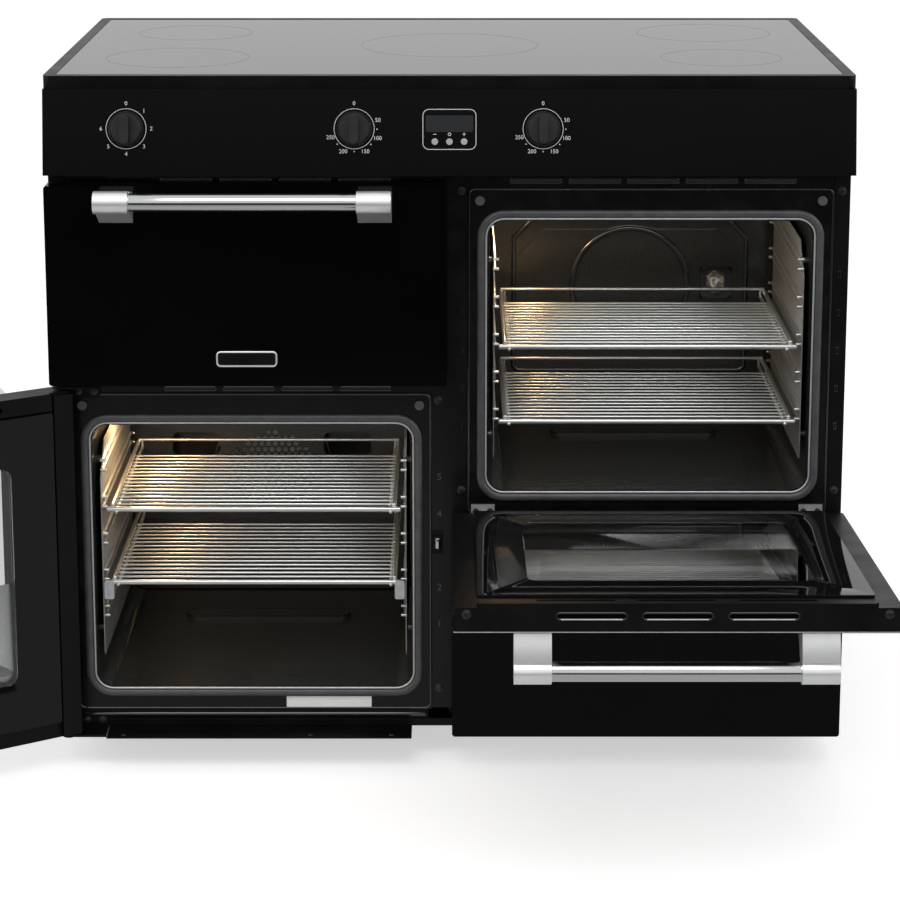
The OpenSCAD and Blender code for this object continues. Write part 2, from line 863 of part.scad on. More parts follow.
// Place on the control panel's face: x across, u up the slope; -Y points out
module on_fascia(x, u) {
    translate([x, front_y, fascia_z]) rotate([-tilt, 0, 0]) translate([0, 0, u]) children();
}

// Side view of the panel's channel, drawn in by d and open to the back
module fascia_profile(d) {
    skin = d / cos(tilt);
    lean = d * tan(tilt);
    polygon([
        [front_y + lean + skin, fascia_z + d],
        [front_y + fascia_back - lean + skin, deck_z - d],
        [face_y + 2 * d, deck_z - d],
        [face_y + 2 * d, fascia_z + d]
    ]);
}

module along_x(w) {
    translate([-w / 2, 0, 0]) rotate([90, 0, 90]) linear_extrude(w) children();
}

switch_hole_d = 14;
dial_left_x = dial_left_off - body_w / 2;
display_w = timer_w - 8;
display_h = 20;
display_up = 64;
button_up = 42;
button_pitch = 18;
button_names = [-1, 0, 1];

module control_panel() {
    color("#121214") difference() {
        along_x(body_w) fascia_profile(0);
        along_x(body_w - 2 * fascia_t) fascia_profile(fascia_t);
        for (x = [dial_left_x, dial_mid_x, dial_right_x])
            on_fascia(x, dial_up) rod_y(0, -2, fascia_t + 2, 0, switch_hole_d);
        on_fascia(0, display_up) translate([0, -2, 0])
            slab(fascia_t + 4) round_rect(display_w + 0.6, display_h + 0.6, 2.3);
        for (i = button_names)
            on_fascia(i * button_pitch, button_up) rod_y(0, -2, fascia_t + 2, 0, button_d + 0.6);
    }
}

module timer_display() {
    h = 52;
    color("#1d2124") on_fascia(0, 0) difference() {
        union() {
            translate([0, 0.6, display_up])
                slab(fascia_t + 1) round_rect(display_w, display_h, 2);
            translate([0, fascia_t, display_up - 10])
                slab(20) square([timer_w + 12, h], center = true);
        }
        for (i = button_names) translate([i * button_pitch, 0, button_up])
            rod_y(0, fascia_t - 1, fascia_t + 9, 0, button_d + 0.6);
    }
}

module timer_button(i) {
    color("#9b9ea2") on_fascia(i * button_pitch, button_up)
        rod_y(0, -button_travel - 0.5, fascia_t + 5, 0, button_d);
}

module minus_button() {
    timer_button(-1);
}

module mode_button() {
    timer_button(0);
}

module plus_button() {
    timer_button(1);
}

module dial_switches() {
    color("#7d8084") for (x = [dial_left_x, dial_mid_x, dial_right_x]) on_fascia(x, dial_up) {
        translate([0, fascia_t, 0]) slab(22) square([42, 42], center = true);
        rod_y(0, -14, fascia_t + 1, 0, shaft_d);
    }
}

// Turned skirt with a raised grip bar and the shaft's bore in its back
module dial() {
    grip_w = 11;
    face_gap = 0.5;
    difference() {
        union() {
            translate([0, -face_gap, 0]) rotate([90, 0, 0])
                rotate_extrude($fn = fine) polygon([
                    [0, 0], [dial_d / 2, 0], [dial_d / 2, 3], [dial_d / 2 - 2.5, 8],
                    [dial_d / 2 - 3.5, 9], [0, 9]
                ]);
            translate([0, -face_gap - dial_h, 0]) slab(dial_h - 8)
                round_rect(grip_w, dial_d - 7.4, grip_w / 2 - 0.1);
        }
        rod_y(0, -face_gap - 15, 0, 0, shaft_d + 2 * running);
    }
}

module left_dial() {
    color("#1f1f21") on_fascia(dial_left_x, dial_up) dial();
}

module middle_dial() {
    color("#1f1f21") on_fascia(dial_mid_x, dial_up) dial();
}

module right_dial() {
    color("#1f1f21") on_fascia(dial_right_x, dial_up) dial();
}

// ---- hinges --------------------------------------------------------------

// Chassis half of a drop hinge: plate on the chassis at seat, arm, eye and pin
module drop_hinge(low, py, pz, seat) {
    eye = min(py, pz) - 2.5;
    y1 = seat - py;
    translate([0, front_y + py, low + pz]) {
        rod_x(-arm_t / 2, arm_t / 2, 0, 0, 2 * eye);
        box(-arm_t / 2, arm_t / 2, 0, y1 - 3, -eye, eye);
        box(-15, 15, y1 - 3, y1, 2 - pz, 34 - pz);
        rod_x(-pocket_w / 2 + gap, pocket_w / 2 - gap, 0, 0, hinge_pin_d);
    }
}

module drop_hinges() {
    color("#b8babc") {
        translate([column_x, 0, 0]) both_sides() translate([hinge_x, 0, 0])
            drop_hinge(right_z, pivot_y, pivot_z, chassis_y);
        translate([-column_x, 0, 0]) both_sides() translate([hinge_x, 0, 0])
            drop_hinge(upper_z, grill_pivot_y, grill_pivot_z, chassis_y + sheet);
    }
}

leaf_t = 3;
leaf_l = 48;
leaf_gap = 2.5;
pin_l = 12;

// Chassis half of a side hinge: leaf over the door's edge, pin and foot plate
module side_hinge() {
    box(side_axis_x, side_axis_x + leaf_l, side_axis_y - 6, face_y, leaf_gap, leaf_gap + leaf_t);
    rod_z(side_axis_x, side_axis_y, leaf_gap, leaf_gap + leaf_t, 17);
    box(side_axis_x - 8.5, side_axis_x, side_axis_y, face_y, leaf_gap, leaf_gap + leaf_t);
    box(side_axis_x + 10, side_axis_x + leaf_l, face_y - 2, face_y, -16, leaf_gap + eps);
    rod_z(side_axis_x, side_axis_y, -pin_l, leaf_gap + eps, side_pin_d);
}

module side_hinges() {
    color("#b8babc") {
        translate([0, 0, low_z + oven_door_h]) side_hinge();
        translate([0, 0, low_z]) mirror([0, 0, 1]) side_hinge();
    }
}

// ---- doors ---------------------------------------------------------------

// Closed place of a front: its middle column and its lower edge
module at_front(c, low) {
    translate([c, front_y, low]) children();
}

module swing_side(a) {
    translate([side_axis_x, side_axis_y, 0]) rotate([0, 0, -a])
        translate([-side_axis_x, -side_axis_y, 0]) children();
}

module swing_drop(low, py, pz, a) {
    translate([0, front_y + py, low + pz]) rotate([a, 0, 0])
        translate([0, -front_y - py, -low - pz]) children();
}

module left_pose() {
    swing_side(left_open) at_front(-column_x, low_z) children();
}

module right_pose() {
    swing_drop(right_z, pivot_y, pivot_z, right_open) at_front(column_x, right_z) children();
}

module grill_pose() {
    at_front(-column_x, upper_z) children();
}

module window_outline(h, grow) {
    translate([0, h / 2]) round_rect(window_w + 2 * grow, window_h + 2 * grow, window_r + grow);
}

// Room for the hinge arm at the lower inner corner of a drop-down door
module arm_room(py, pz) {
    both_sides()
        box(hinge_x - pocket_w / 2, hinge_x + pocket_w / 2, max(py - pz + 0.5, 2.2), door_t + 5,
            -1, pz + min(py, pz) - 1);
}

// Outer panel of a front: a pan with its edges folded back
module outer_pan(h) {
    translate([0, 0, h / 2]) {
        slab(sheet) round_rect(front_w, h, front_r);
        translate([0, sheet - eps, 0]) ring(front_w, h, front_r, sheet, pan_d - sheet + eps);
    }
}

// Inner tray of a front with a step that carries the glass
module inner_tray(h, step) {
    translate([0, 0, h / 2]) {
        translate([0, pan_d, 0]) ring(front_w, h, front_r, sheet, trim_y - pan_d);
        translate([0, trim_y - sheet, 0]) slab(sheet) round_rect(front_w, h, front_r);
        if (step)
            translate([0, trim_y - eps, 0])
                ring(front_w - 2 * glass_side - 8, h - 2 * glass_end - 8, 6, 30,
                     glass_y - trim_y + eps);
    }
}

// Top trim: folded strip, its middle higher than the ends, with air slots
module top_trim(h) {
    z1 = h - 2;
    z0 = h - glass_end + 2;
    difference() {
        box(-front_w / 2 + 27, front_w / 2 - 27, trim_y - eps, glass_y + 1, z0, z1);
        for (i = [-1 : 1])
            translate([i * 112, trim_y, (z0 + z1) / 2]) slab(glass_proud)
                round_rect(88, 6, 2.9);
        box(-front_w / 2 + 30, front_w / 2 - 30, trim_y - 1, glass_y - 1, z0 + 2, z1 - 2);
    }
}

// Two ears of a drop hinge inside the door, with the pin's bore
module ears(py, pz) {
    both_sides() for (s = [-1, 1])
        translate([hinge_x + s * (pocket_w / 2 - ear_t / 2), 0, 0]) difference() {
            box(-ear_t / 2, ear_t / 2, max(py - 7, 2.5), trim_y - sheet + eps, 1.8, 30);
            rod_x(-ear_t, ear_t, py, pz, hinge_pin_d + 2 * running);
        }
}

module left_door_panel() {
    color("#0f0f11") left_pose() difference() {
        outer_pan(oven_door_h);
        translate([0, -1, 0]) slab(sheet + 2) window_outline(oven_door_h, 0);
        for (z = [-1, oven_door_h - sheet - 1])
            rod_z(side_axis_x + column_x, side_pivot_y, z, z + sheet + 2, side_pin_d + 2);
    }
}

bush = 17;
bush_gap = 0.9;
bush_h = 26;

module left_door_inner() {
    axis_x = side_axis_x + column_x;
    edge = side_pivot_x - sheet - bush_gap;
    color("#1d1d20") left_pose() difference() {
        union() {
            difference() {
                inner_tray(oven_door_h, true);
                translate([0, pan_d - 1, 0]) slab(door_t) window_outline(oven_door_h, 0);
            }
            top_trim(oven_door_h);
            box(-front_w / 2, -front_w / 2 + 25, trim_y - eps, door_t - 1, 2, oven_door_h - 2);
            for (z = [sheet + bush_gap, oven_door_h - sheet - bush_gap - bush_h])
                box(axis_x - edge, axis_x + bush / 2, side_pivot_y - 8, trim_y - sheet + eps,
                    z, z + bush_h);
        }
        for (z = [-1, oven_door_h - pin_l - 1.5])
            rod_z(axis_x, side_pivot_y, z, z + pin_l + 2.5, side_pin_d + 2 * running);
    }
}

module pane() {
    translate([0, glass_y, oven_door_h / 2]) slab(glass_t) round_rect(glass_w, glass_h, 3);
}

module outer_pane() {
    translate([0, sheet, 0]) slab(glass_t) window_outline(oven_door_h, 18);
}

module left_door_glass() {
    color("#1a1a1c") left_pose() pane();
}

module left_door_window() {
    color("#1a1a1c") left_pose() outer_pane();
}

// Outline of an end bracket from the side: a round nose on a tapered foot
module bracket_side() {
    r = bar_d / 2 + end_wall;
    up = bar_drop - foot_drop;
    low = end_h - up;
    top_a = atan2(up, bar_off) + acos(r / norm([bar_off, up]));
    low_a = atan2(-low, bar_off) - acos(r / norm([bar_off, low]));
    root = r - 1;
    translate([-bar_off, 0]) circle(r, $fn = fine);
    polygon([
        [0, up], [root * cos(top_a) - bar_off, root * sin(top_a)], [-bar_off, 0],
        [root * cos(low_a) - bar_off, root * sin(low_a)], [0, -low]
    ]);
}

// Bar handle near a front's top edge, h up the front
module handle(h) {
    seat = end_w - bar_seat;
    translate([0, 0, h - bar_drop]) {
        color("#9ea1a4") both_sides() difference() {
            translate([handle_l / 2 - end_w, 0, 0])
                rotate([90, 0, 90]) linear_extrude(end_w) bracket_side();
            rod_x(handle_l / 2 - end_w - 1, handle_l / 2 - seat, -bar_off, 0, bar_d + 2 * running);
        }
        color("#c4c6c8")
            rod_x(-handle_l / 2 + seat, handle_l / 2 - seat, -bar_off, 0, bar_d, $fn = fine);
    }
}

module left_door_handle() {
    left_pose() handle(oven_door_h);
}

module right_door_panel() {
    color("#0f0f11") right_pose() difference() {
        outer_pan(oven_door_h);
        translate([0, -1, 0]) slab(sheet + 2) window_outline(oven_door_h, 0);
        arm_room(pivot_y, pivot_z);
    }
}

module right_door_inner() {
    color("#1d1d20") right_pose() {
        difference() {
            union() {
                inner_tray(oven_door_h, true);
                top_trim(oven_door_h);
            }
            translate([0, pan_d - 1, 0]) slab(door_t) window_outline(oven_door_h, 0);
            arm_room(pivot_y, pivot_z);
        }
        ears(pivot_y, pivot_z);
    }
}

module right_door_glass() {
    color("#1a1a1c") right_pose() pane();
}

module right_door_window() {
    color("#1a1a1c") right_pose() outer_pane();
}

module right_door_handle() {
    right_pose() handle(oven_door_h);
}

module grill_door_panel() {
    color("#0f0f11") grill_pose() difference() {
        outer_pan(small_door_h);
        arm_room(grill_pivot_y, grill_pivot_z);
    }
}

module grill_door_inner() {
    color("#1d1d20") grill_pose() {
        difference() {
            inner_tray(small_door_h, true);
            arm_room(grill_pivot_y, grill_pivot_z);
        }
        ears(grill_pivot_y, grill_pivot_z);
    }
}

module grill_door_handle() {
    grill_pose() handle(small_door_h);
}

// ---- drawer --------------------------------------------------------------

rail_h = 10;
rail_w = 8;
channel_w = 12;

module drawer_front() {
    color("#0f0f11") at_front(column_x, low_z) {
        outer_pan(small_door_h);
        inner_tray(small_door_h, false);
    }
}

module drawer_box() {
    w = drawer_w + 2 * sheet;
    z0 = low_z + drawer_up;
    y0 = front_y + trim_y;
    color("#6d6f72") translate([column_x, 0, 0]) {
        difference() {
            box(-w / 2, w / 2, y0, y0 + drawer_l, z0, z0 + drawer_wall_h);
            box(-drawer_w / 2, drawer_w / 2, y0 + sheet, y0 + drawer_l - sheet,
                z0 + sheet, z0 + drawer_wall_h + 1);
        }
        both_sides() box(w / 2 - eps, w / 2 + rail_w, y0 + 30, y0 + drawer_l,
            runner_z - rail_h / 2, runner_z + rail_h / 2);
    }
}

module drawer_handle() {
    at_front(column_x, low_z) handle(small_door_h);
}

// Fixed channels that hold the drawer's rails
module drawer_runners() {
    x0 = drawer_w / 2 + sheet + 1.2;
    y0 = cavity_y + sheet;
    side = rail_h / 2 + gap;
    color("#a3a6a9") translate([column_x, 0, runner_z]) both_sides() {
        box(x0, x0 + channel_w, y0, y0 + drawer_l - 20, side, side + sheet);
        box(x0, x0 + channel_w, y0, y0 + drawer_l - 20, -side - sheet, -side);
        box(x0 + channel_w - sheet, x0 + channel_w, y0, y0 + drawer_l - 20, -side - sheet, side + sheet);
        box(x0 + channel_w, stile_x, y0, cavity_y + side_stile_d, -side - sheet, side + sheet);
    }
}

// ---- assembly ------------------------------------------------------------

base_tray();
left_side_panel();
right_side_panel();
back_panel();
centre_partition();
front_frame();
left_oven_front();
right_oven_front();
left_oven_cavity();
right_oven_cavity();
grill_cavity();
heating_elements();
left_oven_seal();
right_oven_seal();
left_shelf_ladders();
right_shelf_ladders();
fan_cover();
fan_motor();
oven_lamps();
hob_frame();
hob_glass();
hob_heaters();
control_panel();
timer_display();
dial_switches();
levelling_feet();
terminal_box();
door_buffers();
door_catch();
lower_trim();
side_hinges();
drop_hinges();
drawer_runners();
fan_impeller();
left_dial();
middle_dial();
right_dial();
minus_button();
mode_button();
plus_button();
left_upper_rack();
left_lower_rack();
right_upper_rack();
right_lower_rack();
left_door_panel();
left_door_inner();
left_door_glass();
left_door_window();
left_door_handle();
right_door_panel();
right_door_inner();
right_door_glass();
right_door_window();
right_door_handle();
grill_door_panel();
grill_door_inner();
grill_door_handle();
drawer_front();
drawer_box();
drawer_handle();
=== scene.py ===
"""Looks of a freestanding range cooker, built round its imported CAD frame.

Sizes and places are millimetres of the frame: +X to the right, +Y to the back, +Z up from the floor.
Blender gets metres.
"""

import logging
import math
from dataclasses import dataclass
from enum import Enum
from typing import Callable, Iterable

import bmesh
import bpy
from mathutils import Matrix, Vector


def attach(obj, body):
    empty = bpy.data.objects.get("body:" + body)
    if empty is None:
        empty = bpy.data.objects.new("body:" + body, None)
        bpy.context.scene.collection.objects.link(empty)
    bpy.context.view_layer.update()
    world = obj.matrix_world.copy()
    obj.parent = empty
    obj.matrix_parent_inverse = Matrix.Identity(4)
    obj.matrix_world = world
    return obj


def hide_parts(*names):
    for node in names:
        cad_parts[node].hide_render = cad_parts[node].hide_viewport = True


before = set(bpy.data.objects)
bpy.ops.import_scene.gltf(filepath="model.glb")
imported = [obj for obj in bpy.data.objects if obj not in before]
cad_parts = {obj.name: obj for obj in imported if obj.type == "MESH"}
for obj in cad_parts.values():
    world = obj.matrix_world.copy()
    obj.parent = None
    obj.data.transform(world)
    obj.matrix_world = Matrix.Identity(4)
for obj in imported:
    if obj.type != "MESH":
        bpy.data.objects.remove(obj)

MM = 0.001
UPRIGHT = (math.pi / 2, 0, 0)  # turns what Blender adds lying down to face the front
EM_PER_DIGIT = 1.42  # the font's size over the height of its digits
WELD_MM = 0.01
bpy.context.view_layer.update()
Pick = Callable[[Vector, Vector], bool]
Point = tuple[float, float, float]

log = logging.getLogger("range_cooker")


# ---- colour and nodes ----------------------------------------------------------------------


def linear(hex_colour: str) -> tuple[float, float, float, float]:
    """Turns an sRGB hex colour into Blender's linear colour.

    Args:
        hex_colour: the colour as "#rrggbb".

    Returns:
        Linear red, green and blue, and an alpha of 1.
    """
    parts = [int(hex_colour[i : i + 2], 16) / 255 for i in (1, 3, 5)]
    return (*(c / 12.92 if c <= 0.04045 else ((c + 0.055) / 1.055) ** 2.4 for c in parts), 1.0)


def add_node(
    tree: bpy.types.NodeTree, kind: str, settings: dict | None = None, **links: object
) -> bpy.types.Node:
    """Adds a node with its settings, its values and its links.

    Args:
        tree: the node tree that gets the node.
        kind: Blender's name of the node type.
        settings: properties of the node, and under a number or a name with a capital, its inputs.
        links: inputs by name, with _ for a space; a socket is linked and anything else is a value.

    Returns:
        The new node.
    """
    node = tree.nodes.new(kind)
    inputs: dict[object, object] = {name.replace("_", " "): value for name, value in links.items()}
    for name, value in (settings or {}).items():
        if isinstance(name, int):
            inputs[name] = value
        else:
            setattr(node, name, value)
    for name, value in inputs.items():
        socket = node.inputs[name]
        if isinstance(value, bpy.types.NodeSocket):
            tree.links.new(value, socket)
        else:
            socket.default_value = value
    return node


# ---- finishes ------------------------------------------------------------------------------


class Pattern(Enum):
    """What breaks up a finish's surface."""

    MOTTLE = "soft clouds"
    FLECK = "small light specks"
    SPANGLE = "crystal facets"
    BRUSH = "long fine lines"


@dataclass(frozen=True)
class Finish:
    """One real surface: what it is made of and how its surface came about.

    The pattern varies the colour by tone and the roughness by swing, and the grain is its relief.
    """

    name: str
    colour: str
    tone: str
    rough: float
    swing: float = 0.04
    metal: float = 0.0
    specular: float = 0.5
    clear: float = 0.0
    coat: float = 0.0
    pattern: Pattern = Pattern.MOTTLE
    pattern_mm: float = 40.0
    grain_mm: float = 1.0
    grain_depth_mm: float = 0.02
    brush: Point = (1.0, 1.0, 1.0)

    def material(self) -> bpy.types.Material:
        """Builds the finish's node material once, and finds it again later.

        Returns:
            The material of this finish.
        """
        made = bpy.data.materials.get(self.name)
        if made:
            return made
        made = bpy.data.materials.new(self.name)
        made.use_nodes = True
        tree = made.node_tree
        tree.nodes.clear()
        place = add_node(tree, "ShaderNodeTexCoord").outputs["Object"]
        stretch = add_node(tree, "ShaderNodeMapping", Vector=place, Scale=self.brush).outputs[0]
        amount = self._pattern(tree, stretch)
        colour = add_node(
            tree, "ShaderNodeMix", {"data_type": "RGBA", 0: amount, 6: linear(self.colour), 7: linear(self.tone)}
        ).outputs[2]
        rough = add_node(
            tree, "ShaderNodeMapRange", Value=amount, To_Min=self.rough, To_Max=self.rough + self.swing
        ).outputs[0]
        grain = add_node(
            tree, "ShaderNodeTexNoise", Vector=stretch, Scale=1000 / self.grain_mm, Detail=2.0
        ).outputs["Fac"]
        relief = add_node(
            tree, "ShaderNodeBump", Height=grain, Distance=self.grain_depth_mm * MM, Strength=1.0
        ).outputs[0]
        shader = add_node(
            tree, "ShaderNodeBsdfPrincipled", Base_Color=colour, Roughness=rough, Normal=relief,
            Metallic=self.metal, Specular_IOR_Level=self.specular, Transmission_Weight=self.clear,
            Coat_Weight=self.coat, Coat_Roughness=0.04,
        ).outputs[0]
        add_node(tree, "ShaderNodeOutputMaterial", Surface=shader)
        return made

    def _pattern(self, tree: bpy.types.NodeTree, place: bpy.types.NodeSocket) -> bpy.types.NodeSocket:
        """Adds the pattern's nodes.

        Args:
            tree: the material's nodes.
            place: the stretched object coordinates.

        Returns:
            A socket from 0, the main colour, to 1, the second tone.
        """
        scale = 1000 / self.pattern_mm
        if self.pattern is Pattern.SPANGLE:
            cell = add_node(tree, "ShaderNodeTexVoronoi", Vector=place, Scale=scale).outputs["Color"]
            return add_node(tree, "ShaderNodeSeparateColor", {0: cell}).outputs[0]
        if self.pattern is Pattern.FLECK:
            far = add_node(tree, "ShaderNodeTexVoronoi", Vector=place, Scale=scale).outputs["Distance"]
            return add_node(tree, "ShaderNodeMapRange", {1: 0.08, 2: 0.26, 3: 1.0, 4: 0.0}, Value=far).outputs[0]
        detail = 6.0 if self.pattern is Pattern.BRUSH else 3.0
        cloud = add_node(tree, "ShaderNodeTexNoise", Vector=place, Scale=scale, Detail=detail).outputs["Fac"]
        return add_node(tree, "ShaderNodeMapRange", {1: 0.3, 2: 0.7}, Value=cloud).outputs[0]


# Vitreous enamel fired on pressed steel: a deep black gloss with the faintest orange peel of 6 mm.
BLACK_ENAMEL = Finish("vitreous_enamel_black", "#040405", "#060607", 0.09, 0.05, specular=0.1,
                      pattern_mm=120, grain_mm=6, grain_depth_mm=0.004)
# Powder coat on folded sheet: satin black whose 1 mm grain breaks the shine into a soft sheen.
CASING_COAT = Finish("powder_coat_satin_black", "#070708", "#0c0c0d", 0.34, 0.1, specular=0.18,
                     pattern_mm=60, grain_mm=1.2, grain_depth_mm=0.02)
# Enamelled chassis behind the doors: glossier than the casing, a little uneven from the dip.
CHASSIS_ENAMEL = Finish("dipped_enamel_chassis", "#09090a", "#0e0e10", 0.2, 0.12, specular=0.3,
                        pattern_mm=30, grain_mm=8, grain_depth_mm=0.02)
# Ground-coat enamel of an oven: brown grey under a wavy, wet-looking gloss. Its light flecks are under 1 mm
# in the real one, and drawn 2 mm wide so that they show.
OVEN_ENAMEL = Finish("ground_coat_enamel_flecked", "#292a28", "#474843", 0.15, 0.1,
                     pattern=Pattern.FLECK, pattern_mm=3.2, grain_mm=11, grain_depth_mm=0.3)
# Screen-printed toughened glass: jet black under a flawless gloss.
PRINTED_GLASS = Finish("printed_toughened_glass", "#0b0b0c", "#0e0e10", 0.03, 0.02, specular=0.3,
                       pattern_mm=200, grain_mm=60, grain_depth_mm=0.001)
# Clear float glass with a light grey tint, even all over.
CLEAR_GLASS = Finish("tinted_float_glass", "#e6e7e7", "#e4e5e5", 0.0, 0.0, clear=1.0, specular=0.3,
                     pattern_mm=300, grain_mm=80, grain_depth_mm=0.0)
# Glass-ceramic hob: black with sparse fine sparkle that stays under a smooth gloss.
HOB_CERAMIC = Finish("glass_ceramic_black", "#070708", "#17171a", 0.06, 0.03,
                     pattern=Pattern.FLECK, pattern_mm=5, grain_mm=40, grain_depth_mm=0.002)
# Polished stainless tube: mirror bands drawn out along its length by fine polishing lines.
BAR_STEEL = Finish("polished_stainless_tube", "#cfd0d1", "#dadbdc", 0.11, 0.07, metal=1.0,
                   pattern=Pattern.BRUSH, pattern_mm=3, grain_mm=0.8, grain_depth_mm=0.004,
                   brush=(0.02, 1.0, 1.0))
# Satin-chromed casting: a soft, nearly white sheen without sharp mirror images.
BRACKET_CHROME = Finish("satin_chrome_casting", "#fafafb", "#f2f3f4", 0.3, 0.05, metal=0.72,
                        pattern_mm=25, grain_mm=0.7, grain_depth_mm=0.006)
# Chromed wire: bright and even, with one soft highlight along each wire.
CHROME_WIRE = Finish("chromed_drawn_wire", "#e0e1df", "#d6d7d5", 0.3, 0.04, metal=0.9,
                     pattern_mm=60, grain_mm=4, grain_depth_mm=0.001)
# Chromed side liner sheet: greyer, with rolled streaks along its length.
LINER_SHEET = Finish("rolled_chromed_sheet", "#aeadab", "#9c9b99", 0.36, 0.1, metal=0.6,
                     pattern=Pattern.BRUSH, pattern_mm=8, grain_mm=2, grain_depth_mm=0.01,
                     brush=(1.0, 0.1, 1.0))
# Zinc-plated pressing: pale grey with a bluish, slightly patchy sheen.
ZINC_PLATE = Finish("zinc_plated_pressing", "#cfd1d3", "#bbbdc0", 0.34, 0.12, metal=0.65,
                    pattern_mm=7, grain_mm=1, grain_depth_mm=0.01)
# Hot-dip galvanised sheet: 14 mm spangles of lighter and darker zinc.
GALVANISED = Finish("hot_dip_galvanised_sheet", "#9a9ea2", "#b4b8bb", 0.38, 0.14, metal=1.0,
                    pattern=Pattern.SPANGLE, pattern_mm=14, grain_mm=3, grain_depth_mm=0.01)
# Glass-fibre door seal in a silicone skin: dark grey with a braid of 2 mm and a dull highlight.
SEAL_BRAID = Finish("silicone_skinned_braid", "#424244", "#4f4f51", 0.3, 0.08,
                    pattern_mm=14, grain_mm=2, grain_depth_mm=0.06)
# Moulded rubber: matt grey.
RUBBER = Finish("moulded_rubber", "#4b4c4e", "#58595b", 0.6, 0.1,
                pattern_mm=6, grain_mm=0.8, grain_depth_mm=0.02)
# Moulded phenolic dial: satin black with a fine 0.6 mm texture.
DIAL_PLASTIC = Finish("moulded_phenolic_dial", "#151517", "#1c1c1f", 0.3, 0.12,
                      pattern_mm=12, grain_mm=0.6, grain_depth_mm=0.012)
# Glass-filled nylon: dull black with a 1 mm moulding grain.
NYLON = Finish("glass_filled_nylon", "#202022", "#2a2a2d", 0.55, 0.15,
               pattern_mm=9, grain_mm=1, grain_depth_mm=0.03)
# Smoked acrylic window of the timer.
SMOKED_ACRYLIC = Finish("smoked_acrylic", "#0c0f11", "#101316", 0.08, 0.04,
                        pattern_mm=50, grain_mm=20, grain_depth_mm=0.002)
# Blackened steel screws: dark, with worn bright edges.
SCREW_STEEL = Finish("blackened_steel_screw", "#3c3d40", "#56585b", 0.3, 0.15, metal=1.0,
                     pattern_mm=2, grain_mm=0.6, grain_depth_mm=0.01)
# Pressed lamp glass: facets and 5 mm ripples that throw back bright and dark, more than they let through.
LAMP_GLASS = Finish("pressed_lamp_glass", "#d2cfc6", "#8f8c82", 0.05, 0.08, metal=0.75,
                    coat=1.0, pattern_mm=9, grain_mm=5, grain_depth_mm=0.1)
# Sheathed heating element: steel tube blued and browned by heat.
ELEMENT_STEEL = Finish("heat_tinted_element_tube", "#4a4540", "#6a5c52", 0.42, 0.15, metal=0.9,
                       pattern_mm=30, grain_mm=1.2, grain_depth_mm=0.02)
# Fibre heater body under the hob: chalky and pressed, with a 2 mm felted grain.
HEATER_FIBRE = Finish("pressed_ceramic_fibre", "#a9a396", "#bbb5a8", 0.85, 0.1,
                      pattern_mm=20, grain_mm=2, grain_depth_mm=0.15)
# Fired print: flat off-white, a touch uneven as screen print is.
WHITE_PRINT = Finish("fired_white_print", "#dcdcda", "#cfcfcd", 0.35, 0.05,
                     pattern_mm=6, grain_mm=0.8, grain_depth_mm=0.004)
# Zone print on the hob: mid grey dots read as a soft line.
GREY_PRINT = Finish("fired_grey_print", "#6f7072", "#5d5e60", 0.3, 0.05,
                    pattern_mm=3, grain_mm=0.8, grain_depth_mm=0.004)
# Blank paper label with a film over it.
PAPER_LABEL = Finish("filmed_paper_label", "#fbfbf9", "#f5f5f2", 0.3, 0.05,
                     pattern_mm=18, grain_mm=0.9, grain_depth_mm=0.004)
# Enamelled rolled edges: the same black, with a hard wet highlight along every round.
EDGE_ENAMEL = Finish("vitreous_enamel_rolled_edge", "#0a0a0c", "#0e0e10", 0.14, 0.05, specular=0.9,
                     coat=0.6, pattern_mm=60, grain_mm=9, grain_depth_mm=0.003)


# ---- bench: hand steps on one mesh ---------------------------------------------------------


def hold(*things: bpy.types.Object) -> None:
    """Deselects everything, then selects these objects and makes the first one active."""
    if bpy.context.mode != "OBJECT":
        bpy.ops.object.mode_set(mode="OBJECT")
    bpy.ops.object.select_all(action="DESELECT")
    for thing in things:
        thing.select_set(True)
    if things:
        bpy.context.view_layer.objects.active = things[0]


